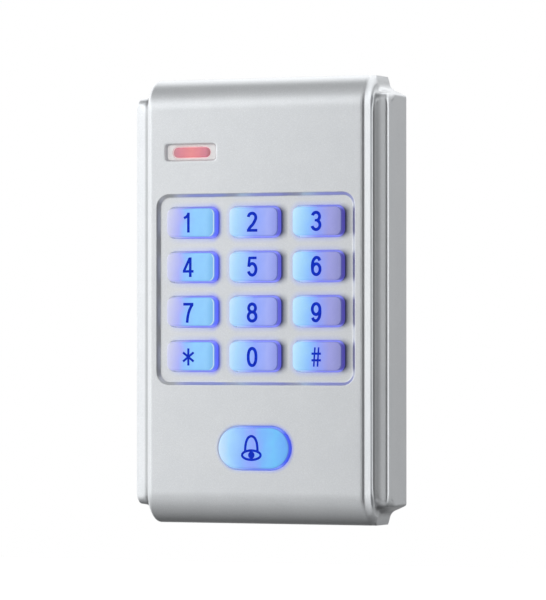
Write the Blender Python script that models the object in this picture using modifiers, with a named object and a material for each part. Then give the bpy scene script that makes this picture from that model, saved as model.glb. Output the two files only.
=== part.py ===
"""Keypad access reader: a die-cast case with twelve backlit keys and a bell button.

Frame: the origin is the centre of the back mounting face, which lies in the plane Y = 0.
The front looks along -Y, +X is to the viewer's right and +Z is up. All lengths are metres.
"""

import math

import bmesh
import bpy
from mathutils import Matrix

MM = 0.001
GAP = 0.3 * MM  # clearance between neighbouring pieces

# Case: a tall core between two lower side wings, all one casting
CASE_HEIGHT = 120.0 * MM
CASE_WIDTH = 73.0 * MM
CASE_DEPTH = 18.0 * MM
FACE_HALF = 30.4 * MM  # half-width of the flat front face
CORE_HALF = 32.25 * MM  # half-width of the core at its side wall
CORE_FILLET_DEPTH = 2.5 * MM
HOLLOW_RADIUS = 0.8 * MM  # of the hollow where the wing meets the core's side wall
WING_SLOPE = 12  # degrees by which the wing falls away from the hollow to its rim
RIM_DEPTH = 3.95 * MM  # how far the wing's rim lies behind the front face
RIM_FILLET = 1.0 * MM
ROLL_DEPTH = 7.8 * MM  # the front face rolls back this far at top and bottom
ROLL_HEIGHT = 8.4 * MM
END_DRAFT = 0.35 * MM  # the casting's outline tapers this much from back to front
NOTCH_CORE_HALF = 31.25 * MM  # half-width of the core's very end
NOTCH_CENTRE_X = 34.5 * MM
NOTCH_CENTRE_DROP = 1.25 * MM  # below the core's end
NOTCH_RADIUS = 2.8 * MM
WING_DROP = 5.2 * MM  # from the core's end down to the wing's outer corner

# Keypad
KEY_PITCH_X = 18.19 * MM
KEY_PITCH_Z = 11.95 * MM
KEY_TOP_ROW_Z = 20.95 * MM
KEY_WIDTH = 13.9 * MM
KEY_HEIGHT = 7.75 * MM
KEY_CORNER = 1.7 * MM
KEY_EDGE = 0.8 * MM
KEY_RISE = 2.3 * MM  # above the keypad recess floor
FLANGE_WIDTH = 0.9 * MM
FLANGE_THICKNESS = 0.9 * MM
KEY_LABELS = ("1", "2", "3", "4", "5", "6", "7", "8", "9", "star", "0", "hash")
RECESS_WIDTH = 55.5 * MM
RECESS_HEIGHT = 49.7 * MM
RECESS_CENTRE_Z = 3.0 * MM
RECESS_CORNER = 2.75 * MM
RECESS_DEPTH = 0.8 * MM
RECESS_BEVEL = 0.85 * MM  # how far its sloping wall runs inwards
BELL_Z = -39.4 * MM
BELL_WIDTH = 20.2 * MM
BELL_HEIGHT = 11.0 * MM
BELL_RISE = 1.5 * MM  # above the front face

# Indicator window
LAMP_X = -18.65 * MM
LAMP_Z = 39.9 * MM
LAMP_WIDTH = 14.7 * MM
LAMP_HEIGHT = 4.6 * MM
LAMP_CORNER = 0.9 * MM
BAR_WIDTH = 10.7 * MM
BAR_HEIGHT = 2.7 * MM

# Stations through the depth of the case, as Y values from the front to the wall
FACE_Y = -CASE_DEPTH
RECESS_Y = FACE_Y + RECESS_DEPTH
INNER_Y = -15.2 * MM  # inner side of the front wall
FLANGE_BACK_Y = INNER_Y + GAP + FLANGE_THICKNESS
PCB_FRONT_Y = -10.6 * MM
PCB_THICKNESS = 1.6 * MM
PCB_BACK_Y = PCB_FRONT_Y + PCB_THICKNESS
MAT_BACK_Y = PCB_FRONT_Y - GAP
MAT_WEB_Y = MAT_BACK_Y - 1.0 * MM
DOME_TOP_Y = FLANGE_BACK_Y + GAP
DOME_ROOF = 1.1 * MM
PILL_THICKNESS = 0.5 * MM
LEDGE_Y = -4.2 * MM  # rear ledge that carries the gasket
COVER_FRONT_Y = -3.0 * MM
COVER_BACK_Y = -1.8 * MM
PLATE_FRONT_Y = -1.5 * MM

# Half-sizes (X, Z) of the three stepped cavities and of what they hold
FRONT_CAVITY = (29.4 * MM, 47.5 * MM)
MIDDLE_CAVITY = (31.4 * MM, 49.4 * MM)
REAR_CAVITY = (33.2 * MM, 53.0 * MM)
PCB_HALF = (30.9 * MM, 49.0 * MM)
COVER_HALF = (32.9 * MM, 50.8 * MM)
PLATE_HALF = (32.7 * MM, 52.6 * MM)
SCREW_X = 27.3 * MM
SCREW_Z = 45.8 * MM
CABLE_Z = 17.0 * MM
BACKLIGHT_X = KEY_PITCH_X / 2
TAMPER_X = 20.0 * MM
TAMPER_Z = -8.0 * MM
LOCK_SCREW_Y = -5.4 * MM
HOOK_X = 16.0 * MM

ARC_STEPS = 6
ROUND_SIDES = 24

for old in list(bpy.data.objects):
    bpy.data.objects.remove(old)

reader = bpy.data.collections.new("keypad_access_reader")
cutters = bpy.data.collections.new("cutters")
bpy.context.scene.collection.children.link(reader)
bpy.context.scene.collection.children.link(cutters)


# ---------------------------------------------------------------- materials

def material(name, colour, roughness, metallic=0.0, glow=None):
    made = bpy.data.materials.new(name)
    made.use_nodes = True
    shader = made.node_tree.nodes["Principled BSDF"]
    shader.inputs["Base Color"].default_value = (*colour, 1.0)
    shader.inputs["Roughness"].default_value = roughness
    shader.inputs["Metallic"].default_value = metallic
    if glow:
        shader.inputs["Emission Color"].default_value = (*glow, 1.0)
        shader.inputs["Emission Strength"].default_value = 0.6
    made.diffuse_color = (*colour, 1.0)
    return made


SILVER_PAINT = material("silver_paint", (0.60, 0.62, 0.64), 0.38, 0.35)
MILKY_KEY = material("milky_key", (0.38, 0.60, 0.97), 0.25, glow=(0.10, 0.25, 1.0))
CLEAR_LENS = material("clear_lens", (0.78, 0.78, 0.80), 0.15)
RED_DIFFUSER = material("red_diffuser", (0.75, 0.20, 0.24), 0.35, glow=(1.0, 0.05, 0.05))
SILICONE = material("silicone", (0.72, 0.74, 0.76), 0.6)
CARBON = material("carbon", (0.02, 0.02, 0.02), 0.8)
BOARD = material("board", (0.02, 0.16, 0.07), 0.4)
LED_BLUE = material("led_blue", (0.55, 0.70, 0.95), 0.3, glow=(0.1, 0.3, 1.0))
LED_RED = material("led_red", (0.9, 0.35, 0.3), 0.3, glow=(1.0, 0.05, 0.03))
COPPER = material("copper", (0.70, 0.32, 0.16), 0.35, 1.0)
CHIP_BLACK = material("chip_black", (0.025, 0.025, 0.027), 0.5)
STEEL = material("steel", (0.55, 0.56, 0.57), 0.35, 1.0)
ALUMINIUM = material("aluminium", (0.70, 0.71, 0.72), 0.3, 1.0)
COVER_PLASTIC = material("cover_plastic", (0.05, 0.05, 0.055), 0.5)
RUBBER = material("rubber", (0.03, 0.03, 0.03), 0.75)
CONNECTOR_WHITE = material("connector_white", (0.82, 0.80, 0.74), 0.4)


# ---------------------------------------------------------------- outlines

def arc(centre, radii, start, end, steps=ARC_STEPS):
    """Points of an elliptical arc, angles in degrees."""
    points = []
    for step in range(steps + 1):
        angle = math.radians(start + (end - start) * step / steps)
        points.append((centre[0] + radii[0] * math.cos(angle),
                       centre[1] + radii[1] * math.sin(angle)))
    return points


def without_repeats(points, least=1e-6):
    kept = []
    for point in points:
        if not kept or math.dist(point, kept[-1]) > least:
            kept.append(point)
    if math.dist(kept[0], kept[-1]) < least:
        kept.pop()
    return kept


def rounded_rectangle(centre, width, height, radius, steps=ARC_STEPS):
    points = []
    for quarter, (side_x, side_z) in enumerate(((1, 1), (-1, 1), (-1, -1), (1, -1))):
        corner = (centre[0] + side_x * (width / 2 - radius),
                  centre[1] + side_z * (height / 2 - radius))
        points += arc(corner, (radius, radius), 90 * quarter, 90 * quarter + 90, steps)
    return without_repeats(points)


def mirrored_in_x(right_half):
    """A closed outline from its right half, given from one end of the axis to the other."""
    left_half = [(-x, other) for x, other in reversed(right_half)]
    return without_repeats(right_half + left_half)


# ---------------------------------------------------------------- solids

TURNS = {
    "Z": Matrix.Identity(4),
    "Y": Matrix.Rotation(math.pi / 2, 4, "X"),
    "X": Matrix.Rotation(math.pi / 2, 4, "Z") @ Matrix.Rotation(math.pi / 2, 4, "X"),
}
DIRECTIONS = {"X": (1, 0, 0), "Y": (0, 1, 0), "Z": (0, 0, 1)}


def placed(name, mesh, matrix, finish=None):
    """Adds a mesh as a sub-part, or as a cutter when it has no finish."""
    thing = bpy.data.objects.new(name, mesh)
    thing.matrix_world = matrix
    if finish:
        mesh.materials.append(finish)
        reader.objects.link(thing)
        mesh.shade_smooth()
        mesh.set_sharp_from_angle(angle=math.radians(35))
        return thing
    thing.hide_render = True
    thing.display_type = "WIRE"
    cutters.objects.link(thing)
    return thing


def prism(name, outline, low, high, axis="Y", finish=None):
    """A flat outline extruded along an axis. The outline is (x, z) for axis Y,
    (y, z) for axis X and (x, y) for axis Z."""
    curve = bpy.data.curves.new(name, "CURVE")
    curve.dimensions = "2D"
    curve.fill_mode = "BOTH"
    curve.extrude = (high - low) / 2
    spline = curve.splines.new("POLY")
    spline.points.add(len(outline) - 1)
    for point, (across, up) in zip(spline.points, outline):
        point.co = (across, up, 0, 1)
    spline.use_cyclic_u = True
    drawn = bpy.data.objects.new(name + "_outline", curve)
    middle = [(low + high) / 2 * part for part in DIRECTIONS[axis]]
    drawn.matrix_world = Matrix.Translation(middle) @ TURNS[axis]
    bpy.context.scene.collection.objects.link(drawn)
    bpy.context.view_layer.update()
    graph = bpy.context.evaluated_depsgraph_get()
    mesh = bpy.data.meshes.new_from_object(drawn.evaluated_get(graph))
    mesh.name = name
    matrix = drawn.matrix_world.copy()
    bpy.data.objects.remove(drawn)
    work = bmesh.new()
    work.from_mesh(mesh)
    bmesh.ops.remove_doubles(work, verts=work.verts, dist=1e-6)
    bmesh.ops.recalc_face_normals(work, faces=work.faces)
    work.to_mesh(mesh)
    work.free()
    return placed(name, mesh, matrix, finish)


def cylinder(name, centre, radius, low, high, axis="Y", finish=None, far_radius=None,
             sides=ROUND_SIDES):
    """A round bar or cone between two stations of an axis. centre gives the other two
    coordinates in X, Y, Z order. far_radius is the radius at the high end."""
    far_radius = radius if far_radius is None else far_radius
    mesh = bpy.data.meshes.new(name)
    work = bmesh.new()
    bmesh.ops.create_cone(work, cap_ends=True, segments=sides, radius1=radius,
                          radius2=far_radius, depth=high - low)
    work.to_mesh(mesh)
    work.free()
    middle = list(centre)
    middle.insert("XYZ".index(axis), (low + high) / 2)
    # a cone's own axis is Z with radius1 at its low end
    turn = {"X": Matrix.Rotation(math.pi / 2, 4, "Y"),
            "Y": Matrix.Rotation(-math.pi / 2, 4, "X"),
            "Z": Matrix.Identity(4)}[axis]
    return placed(name, mesh, Matrix.Translation(middle) @ turn, finish)


def block(name, low, high, finish=None):
    """A box between two corners."""
    mesh = bpy.data.meshes.new(name)
    work = bmesh.new()
    bmesh.ops.create_cube(work, size=1.0)
    size = [b - a for a, b in zip(low, high)]
    bmesh.ops.scale(work, vec=size, verts=work.verts)
    work.to_mesh(mesh)
    work.free()
    middle = [(a + b) / 2 for a, b in zip(low, high)]
    return placed(name, mesh, Matrix.Translation(middle), finish)


def combine(target, operation, tools):
    for tool in tools:
        step = target.modifiers.new(operation.lower(), "BOOLEAN")
        step.operation = operation
        step.solver = "EXACT"
        step.object = tool


def cut(target, *tools):
    combine(target, "DIFFERENCE", tools)


def join(target, *tools):
    combine(target, "UNION", tools)


def keep_common(target, *tools):
    combine(target, "INTERSECT", tools)


def soften(target, width, segments=3):
    bevel = target.modifiers.new("soft_edges", "BEVEL")
    bevel.width = width
    bevel.segments = segments
    bevel.limit_method = "ANGLE"
    bevel.angle_limit = math.radians(40)


def taper(target, at_front, centre_z, factor_x, factor_z):
    """Scales one end of a prism along Y, whose own Z runs towards the front."""
    for vertex in target.data.vertices:
        if (vertex.co.z > 0) == at_front:
            vertex.co.x *= factor_x
            vertex.co.y = centre_z + (vertex.co.y - centre_z) * factor_z


def full_size(half_sizes):
    """Full width and height from two half-sizes."""
    return 2 * half_sizes[0], 2 * half_sizes[1]


# ---------------------------------------------------------------- layout

def key_places():
    """Label and centre (x, z) of each of the twelve keys."""
    for number, label in enumerate(KEY_LABELS):
        row, column = divmod(number, 3)
        yield label, ((column - 1) * KEY_PITCH_X, KEY_TOP_ROW_Z - row * KEY_PITCH_Z)


def backlight_places():
    """The blue lamps: six between the key columns, two beside the bell contact."""
    for row in range(3):
        for side in (-1, 1):
            yield side * BACKLIGHT_X, KEY_TOP_ROW_Z - (row + 0.5) * KEY_PITCH_Z
    for side in (-1, 1):
        yield side * 6.4 * MM, BELL_Z


def screw_places():
    for side_z in (1, -1):
        for side_x in (-1, 1):
            yield side_x * SCREW_X, side_z * SCREW_Z


# ---------------------------------------------------------------- case

def case_section():
    """The casting's cross-section, seen from above: face, rolled edge, hollow, wing, rim."""
    half = [(0, 0), (CASE_WIDTH / 2, 0)]
    rim_centre = (CASE_WIDTH / 2 - RIM_FILLET, FACE_Y + RIM_DEPTH + RIM_FILLET)
    half += arc(rim_centre, (RIM_FILLET, RIM_FILLET), 0, WING_SLOPE - 90, 7)
    # the wing's face is the common tangent of the rim's rounding and the hollow
    hollow_x = CORE_HALF + HOLLOW_RADIUS
    slope = math.radians(WING_SLOPE)
    hollow_y = rim_centre[1] + ((hollow_x - rim_centre[0]) * math.sin(slope)
                                - RIM_FILLET - HOLLOW_RADIUS) / math.cos(slope)
    half += arc((hollow_x, hollow_y), (HOLLOW_RADIUS, HOLLOW_RADIUS), 90 + WING_SLOPE, 180, 7)
    fillet = (FACE_HALF, FACE_Y + CORE_FILLET_DEPTH)
    half += arc(fillet, (CORE_HALF - FACE_HALF, CORE_FILLET_DEPTH), 0, -90, 6)
    half.append((0, FACE_Y))
    return mirrored_in_x(half)


def case_side_profile():
    """The casting from the side: the front face rolls back at top and bottom."""
    top = CASE_HEIGHT / 2
    centre_y = FACE_Y + ROLL_DEPTH
    clear = 0.05 * MM  # the profile stands just clear of the flat face
    upper = [(1 * MM, top), (0, top)]
    upper += arc((centre_y, top - ROLL_HEIGHT - END_DRAFT / 2),
                 (ROLL_DEPTH + clear, ROLL_HEIGHT), 90, 180, 10)
    return without_repeats(upper + [(y, -z) for y, z in reversed(upper)])


def case_outline():
    """The casting from the front: the core stands past the wings through a concave notch."""
    top = CASE_HEIGHT / 2
    notch = (NOTCH_CENTRE_X, top - NOTCH_CENTRE_DROP)
    upper = [(NOTCH_CORE_HALF, top)]
    upper += arc(notch, (NOTCH_RADIUS, NOTCH_RADIUS), 190, 255, 5)
    upper += [(CASE_WIDTH / 2, top - WING_DROP)]
    right = upper + [(x, -z) for x, z in reversed(upper)]
    return mirrored_in_x([(0, top)] + right + [(0, -top)])


def front_case():
    case = prism("front_case", case_section(), -CASE_HEIGHT / 2, CASE_HEIGHT / 2, "Z",
                 SILVER_PAINT)
    rolled = prism("case_side_view", case_side_profile(), -CASE_WIDTH, CASE_WIDTH, "X")
    outline = prism("case_front_view", case_outline(), FACE_Y - 2 * MM, 1 * MM)
    taper(outline, True, 0, 1 - 2 * END_DRAFT / CASE_WIDTH, 1 - 2 * END_DRAFT / CASE_HEIGHT)
    keep_common(case, rolled, outline)

    # the cutter's wall slopes at the same rate in front of the face as behind it
    mouth_width = RECESS_WIDTH + 2 * RECESS_BEVEL
    mouth_height = RECESS_HEIGHT + 2 * RECESS_BEVEL
    mouth = rounded_rectangle((0, RECESS_CENTRE_Z), mouth_width, mouth_height,
                              RECESS_CORNER + RECESS_BEVEL)
    recess = prism("keypad_recess", mouth, FACE_Y - RECESS_DEPTH, RECESS_Y)
    taper(recess, False, RECESS_CENTRE_Z, 1 - 4 * RECESS_BEVEL / mouth_width,
          1 - 4 * RECESS_BEVEL / mouth_height)
    cut(case, recess)

    for name, half, front in (("front_cavity", FRONT_CAVITY, INNER_Y),
                              ("middle_cavity", MIDDLE_CAVITY, PCB_FRONT_Y - GAP),
                              ("rear_cavity", REAR_CAVITY, LEDGE_Y)):
        shape = rounded_rectangle((0, 0), *full_size(half), 2.5 * MM, 4)
        cut(case, prism(name, shape, front, 1 * MM))

    for number, place in enumerate(screw_places(), 1):
        boss = cylinder(f"boss_{number}", place, 2.7 * MM, INNER_Y - 0.5 * MM,
                        PCB_FRONT_Y - 2 * GAP, sides=16)
        bore = cylinder(f"boss_bore_{number}", place, 1.55 * MM, -13.9 * MM, 0, sides=16)
        join(case, boss)
        cut(case, bore)

    for label, place in key_places():
        window = rounded_rectangle(place, KEY_WIDTH + 2 * GAP, KEY_HEIGHT + 2 * GAP,
                                   KEY_CORNER + GAP, 4)
        cut(case, prism(f"window_{label}", window, FACE_Y, INNER_Y + 1 * MM))
    bell = rounded_rectangle((0, BELL_Z), BELL_WIDTH + 2 * GAP, BELL_HEIGHT + 2 * GAP,
                             BELL_HEIGHT / 2 + GAP)
    cut(case, prism("window_bell", bell, FACE_Y - 1 * MM, INNER_Y + 1 * MM))
    lamp = rounded_rectangle((LAMP_X, LAMP_Z), LAMP_WIDTH, LAMP_HEIGHT, LAMP_CORNER, 3)
    cut(case, prism("window_lamp", lamp, FACE_Y - 1 * MM, INNER_Y + 1 * MM))

    # locking screw: counterbore, clearance hole and the pocket of the plate's tab
    lock = (0, LOCK_SCREW_Y)
    bottom = -CASE_HEIGHT / 2
    cut(case,
        cylinder("lock_counterbore", lock, 2.9 * MM, bottom - 1 * MM, bottom + 2.8 * MM, "Z"),
        cylinder("lock_hole", lock, 1.8 * MM, bottom - 1 * MM, bottom + 8 * MM, "Z"),
        block("lock_pocket", (-5.5 * MM, -8.6 * MM, -53.0 * MM), (5.5 * MM, -4.0 * MM, -50.9 * MM)))
    for side in (-1, 1):
        low_x, high_x = side * HOOK_X - 4.4 * MM, side * HOOK_X + 4.4 * MM
        name = "left" if side < 0 else "right"
        cut(case,
            block(f"hook_way_{name}", (low_x, -7.2 * MM, 50.9 * MM), (high_x, -4.0 * MM, 53.4 * MM)),
            block(f"hook_slot_{name}", (low_x, -7.2 * MM, 53.0 * MM), (high_x, -4.8 * MM, 56.6 * MM)))


# ---------------------------------------------------------------- keys

def key_cap(name, place, width, height, corner, front_y):
    """A domed cap with a flange behind the front wall that keeps it in the case."""
    cap = prism(name, rounded_rectangle(place, width, height, corner, 4),
                front_y, FLANGE_BACK_Y - 0.2 * MM, finish=MILKY_KEY)
    soften(cap, KEY_EDGE)
    flange = rounded_rectangle(place, width + 2 * FLANGE_WIDTH, height + 2 * FLANGE_WIDTH,
                               corner + FLANGE_WIDTH, 3)
    join(cap, prism(name + "_flange", flange, INNER_Y + GAP, FLANGE_BACK_Y))
    return cap


def contact_pill(name, place):
    """The carbon disc under a dome's roof, which closes the contact on the board."""
    low = DOME_TOP_Y + DOME_ROOF + GAP
    cylinder(name, place, 1.6 * MM, low, low + PILL_THICKNESS, finish=CARBON, sides=16)


def keys():
    for label, place in key_places():
        key_cap(f"key_cap_{label}", place, KEY_WIDTH, KEY_HEIGHT, KEY_CORNER,
                RECESS_Y - KEY_RISE)
        contact_pill(f"contact_pill_{label}", place)
    key_cap("bell_button", (0, BELL_Z), BELL_WIDTH, BELL_HEIGHT, BELL_HEIGHT / 2,
            FACE_Y - BELL_RISE)
    contact_pill("contact_pill_bell", (0, BELL_Z))


def dome(mat, name, place):
    """A hollow cone under one key, open towards the board."""
    outside = cylinder(name, place, 3.0 * MM, DOME_TOP_Y, MAT_WEB_Y + 0.4 * MM,
                       far_radius=4.2 * MM, sides=16)
    inside = cylinder(name + "_hollow", place, 2.4 * MM, DOME_TOP_Y + DOME_ROOF,
                      PCB_FRONT_Y, far_radius=3.5 * MM, sides=16)
    join(mat, outside)
    cut(mat, inside)


def key_mats():
    middle_z = KEY_TOP_ROW_Z - 1.5 * KEY_PITCH_Z
    web = rounded_rectangle((0, middle_z), 52.8 * MM, 3 * KEY_PITCH_Z + 11.6 * MM, 2 * MM, 3)
    keypad = prism("keypad_mat", web, MAT_WEB_Y, MAT_BACK_Y, finish=SILICONE)
    for label, place in key_places():
        dome(keypad, f"dome_{label}", place)
    bell_web = rounded_rectangle((0, BELL_Z), 20.0 * MM, 11.6 * MM, 2 * MM, 3)
    bell = prism("bell_mat", bell_web, MAT_WEB_Y, MAT_BACK_Y, finish=SILICONE)
    dome(bell, "dome_bell", (0, BELL_Z))
    for number, place in enumerate(backlight_places(), 1):
        hole = cylinder(f"lamp_hole_{number}", place, 1.5 * MM, MAT_WEB_Y - 1 * MM,
                        PCB_FRONT_Y, sides=12)
        cut(keypad if number <= 6 else bell, hole)


# ---------------------------------------------------------------- indicator

def indicator():
    """A clear window with a red bar let into it, and a stem that leads the light in."""
    place = (LAMP_X, LAMP_Z)
    face = rounded_rectangle(place, LAMP_WIDTH - 2 * GAP, LAMP_HEIGHT - 2 * GAP,
                             LAMP_CORNER - GAP, 3)
    lens = prism("indicator_lens", face, FACE_Y + 0.2 * MM, INNER_Y + 0.6 * MM,
                 finish=CLEAR_LENS)
    flange = rounded_rectangle(place, 15.8 * MM, 5.8 * MM, 1 * MM, 3)
    stem = rounded_rectangle(place, 10.0 * MM, 2.4 * MM, 1 * MM, 3)
    join(lens,
         prism("lens_flange", flange, INNER_Y + GAP, FLANGE_BACK_Y),
         prism("lens_stem", stem, FLANGE_BACK_Y - 0.3 * MM, -12.1 * MM))
    pocket = rounded_rectangle(place, BAR_WIDTH + 2 * GAP, BAR_HEIGHT + 2 * GAP,
                               BAR_HEIGHT / 2 + GAP, 5)
    cut(lens, prism("lens_pocket", pocket, FACE_Y - 1 * MM, FACE_Y + 1.5 * MM))
    bar = rounded_rectangle(place, BAR_WIDTH, BAR_HEIGHT, BAR_HEIGHT / 2, 5)
    prism("indicator_bar", bar, FACE_Y + 0.1 * MM, FACE_Y + 1.5 * MM - GAP,
          finish=RED_DIFFUSER)


# ---------------------------------------------------------------- electronics

def on_board(name, place, size, finish):
    """A box-shaped component on the back of the board: size is (x, y, z)."""
    low_y = PCB_BACK_Y + GAP
    low = (place[0] - size[0] / 2, low_y, place[1] - size[2] / 2)
    high = (place[0] + size[0] / 2, low_y + size[1], place[1] + size[2] / 2)
    part = block(name, low, high, finish)
    soften(part, 0.25 * MM, 1)
    return part


def circuit_board():
    shape = rounded_rectangle((0, 0), *full_size(PCB_HALF), 2 * MM, 3)
    board = prism("main_board", shape, PCB_FRONT_Y, PCB_BACK_Y, finish=BOARD)
    for number, place in enumerate(screw_places(), 1):
        cut(board, cylinder(f"board_hole_{number}", place, 1.55 * MM,
                            PCB_FRONT_Y - 1 * MM, PCB_BACK_Y + 1 * MM, sides=16))


def lamps():
    front = PCB_FRONT_Y - GAP - 0.8 * MM
    for number, (x, z) in enumerate(backlight_places(), 1):
        block(f"backlight_led_{number}", (x - 0.8 * MM, front, z - 0.5 * MM),
              (x + 0.8 * MM, front + 0.8 * MM, z + 0.5 * MM), LED_BLUE)
    block("indicator_led", (LAMP_X - 1.6 * MM, front, LAMP_Z - 0.8 * MM),
          (LAMP_X + 1.6 * MM, front + 0.8 * MM, LAMP_Z + 0.8 * MM), LED_RED)


def antenna():
    """The wound card-reading loop, laid on the board around the key mat."""
    outer = rounded_rectangle((0, RECESS_CENTRE_Z), 57.8 * MM, 52.6 * MM, 4 * MM, 4)
    inner = rounded_rectangle((0, RECESS_CENTRE_Z), 55.2 * MM, 50.0 * MM, 2.7 * MM, 4)
    coil = prism("antenna_coil", outer, MAT_BACK_Y - 1.3 * MM, MAT_BACK_Y, finish=COPPER)
    cut(coil, prism("coil_inside", inner, MAT_BACK_Y - 3 * MM, MAT_BACK_Y + 1 * MM))


def components():
    low = PCB_BACK_Y + GAP
    on_board("controller_chip", (-12 * MM, -8 * MM), (10 * MM, 1.4 * MM, 10 * MM), CHIP_BLACK)
    on_board("card_reader_chip", (12 * MM, 34 * MM), (8 * MM, 1.3 * MM, 6 * MM), CHIP_BLACK)
    on_board("crystal", (-15 * MM, 8 * MM), (11 * MM, 3.3 * MM, 4.2 * MM), STEEL)
    on_board("regulator", (6 * MM, -33 * MM), (6.5 * MM, 1.6 * MM, 3.5 * MM), CHIP_BLACK)
    header = on_board("cable_header", (0, -19 * MM), (21 * MM, 4.6 * MM, 5.4 * MM),
                      CONNECTOR_WHITE)
    well = block("header_well", (-9.6 * MM, low + 1.2 * MM, -20.9 * MM),
                 (9.6 * MM, low + 6 * MM, -17.1 * MM))
    cut(header, well)
    cylinder("capacitor", (18 * MM, -28 * MM), 3.15 * MM, low, low + 5.0 * MM,
             finish=ALUMINIUM)
    buzzer = cylinder("buzzer", (-18 * MM, -31 * MM), 4.8 * MM, low, low + 4.4 * MM,
                      finish=CHIP_BLACK)
    cut(buzzer, cylinder("buzzer_port", (-18 * MM, -31 * MM), 0.9 * MM, low + 3.4 * MM,
                         low + 6 * MM, sides=12))
    cylinder("tamper_sensor", (TAMPER_X, TAMPER_Z), 2.5 * MM, low, low + 2.0 * MM,
             finish=CONNECTOR_WHITE)


# ---------------------------------------------------------------- back

def gasket():
    outer = rounded_rectangle((0, 0), *full_size((33.0 * MM, 50.8 * MM)), 2.3 * MM, 4)
    inner = rounded_rectangle((0, 0), *full_size((31.7 * MM, 49.6 * MM)), 1.6 * MM, 4)
    low, high = LEDGE_Y + GAP, COVER_FRONT_Y - GAP
    ring = prism("cover_gasket", outer, low, high, finish=RUBBER)
    cut(ring, prism("gasket_inside", inner, low - 1 * MM, high + 1 * MM))


def rear_cover():
    shape = rounded_rectangle((0, 0), *full_size(COVER_HALF), 2.2 * MM, 4)
    cover = prism("rear_cover", shape, COVER_FRONT_Y, COVER_BACK_Y, finish=COVER_PLASTIC)
    for number, place in enumerate(screw_places(), 1):
        post = cylinder(f"post_{number}", place, 3.3 * MM, PCB_BACK_Y + GAP,
                        COVER_FRONT_Y + 0.5 * MM, sides=16)
        bore = cylinder(f"post_bore_{number}", place, 1.55 * MM, PCB_BACK_Y, 0, sides=16)
        seat = cylinder(f"screw_seat_{number}", place, 2.5 * MM, -3.4 * MM, 0, sides=16)
        join(cover, post)
        cut(cover, bore, seat)
    cut(cover,
        cylinder("cover_cable_hole", (0, CABLE_Z), 5.3 * MM, -5 * MM, 0),
        cylinder("cover_tamper_hole", (TAMPER_X, TAMPER_Z), 2.6 * MM, -5 * MM, 0))


def turned(name, profile, place, finish):
    """A profile of (radius, distance along +Y) points turned about an axis along Y.
    The profile runs down the outside and back up the bore."""
    mesh = bpy.data.meshes.new(name)
    work = bmesh.new()
    ring = [work.verts.new((radius, 0, along)) for radius, along in profile]
    for first, second in zip(ring, ring[1:] + ring[:1]):
        work.edges.new((first, second))
    work.to_mesh(mesh)
    work.free()
    # the screw's own Z becomes the world's +Y
    matrix = Matrix.Translation((place[0], 0, place[1])) @ Matrix.Rotation(-math.pi / 2, 4, "X")
    thing = placed(name, mesh, matrix, finish)
    screw = thing.modifiers.new("turn", "SCREW")
    screw.steps = ROUND_SIDES
    screw.render_steps = ROUND_SIDES
    screw.use_merge_vertices = True
    screw.merge_threshold = 0.00001
    screw.use_smooth_shade = True
    return thing


def cable_grommet():
    """A rubber ring in the rear cover's cable hole, with a lip on each side."""
    lip, neck, bore = 6.5 * MM, 5.0 * MM, 3.2 * MM
    rear, front = -0.4 * MM, -4.8 * MM
    profile = [
        (lip - 0.4 * MM, rear), (lip, rear - 0.4 * MM), (lip, COVER_BACK_Y + GAP),
        (neck, COVER_BACK_Y + GAP), (neck, COVER_FRONT_Y - GAP),
        (lip, COVER_FRONT_Y - GAP), (bore + 1.2 * MM, front), (bore, front), (bore, rear),
    ]
    turned("cable_grommet", profile, (0, CABLE_Z), RUBBER)


def cover_screws():
    """Four pan-head screws clamp the cover and the board to the case's bosses."""
    for number, place in enumerate(screw_places(), 1):
        screw = cylinder(f"cover_screw_{number}", place, 2.2 * MM, -3.1 * MM, -2.0 * MM,
                         finish=STEEL, sides=16)
        join(screw, cylinder(f"screw_shank_{number}", place, 1.25 * MM, -13.4 * MM,
                             -2.8 * MM, sides=12))
        for turn, (half_x, half_z) in enumerate(((1.3, 0.22), (0.22, 1.3))):
            cut(screw, block(f"cross_{number}_{turn}",
                             (place[0] - half_x * MM, -2.5 * MM, place[1] - half_z * MM),
                             (place[0] + half_x * MM, -1.5 * MM, place[1] + half_z * MM)))


def mounting_plate():
    """The wall plate: two hooks at the top and a threaded tab for the locking screw."""
    shape = rounded_rectangle((0, 0), *full_size(PLATE_HALF), 2.2 * MM, 4)
    plate = prism("mounting_plate", shape, PLATE_FRONT_Y, 0, finish=STEEL)
    tab = block("lock_tab", (-4.8 * MM, -8.2 * MM, -52.6 * MM), (4.8 * MM, -0.5 * MM, -51.4 * MM))
    join(plate, tab)
    for side in (-1, 1):
        low_x, high_x = side * HOOK_X - 3.8 * MM, side * HOOK_X + 3.8 * MM
        name = "left" if side < 0 else "right"
        join(plate,
             block(f"hook_arm_{name}", (low_x, -6.6 * MM, 51.4 * MM), (high_x, -0.5 * MM, 52.55 * MM)),
             block(f"hook_lip_{name}", (low_x, -6.55 * MM, 51.5 * MM), (high_x, -5.4 * MM, 56.0 * MM)))
    cut(plate,
        cylinder("lock_thread", (0, LOCK_SCREW_Y), 1.8 * MM, -55 * MM, -50 * MM, "Z"),
        cylinder("plate_cable_hole", (0, CABLE_Z), 8.0 * MM, -3 * MM, 1 * MM),
        cylinder("plate_tamper_hole", (TAMPER_X, TAMPER_Z), 3.2 * MM, -3 * MM, 1 * MM))
    slots = (((0, 38 * MM), 4.4 * MM, 8 * MM), ((0, -36 * MM), 4.4 * MM, 8 * MM),
             ((-22 * MM, 4 * MM), 8 * MM, 4.4 * MM), ((22 * MM, 10 * MM), 8 * MM, 4.4 * MM))
    for number, (place, width, height) in enumerate(slots, 1):
        slot = rounded_rectangle(place, width, height, 2.2 * MM, 4)
        cut(plate, prism(f"wall_slot_{number}", slot, -3 * MM, 1 * MM))


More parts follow.
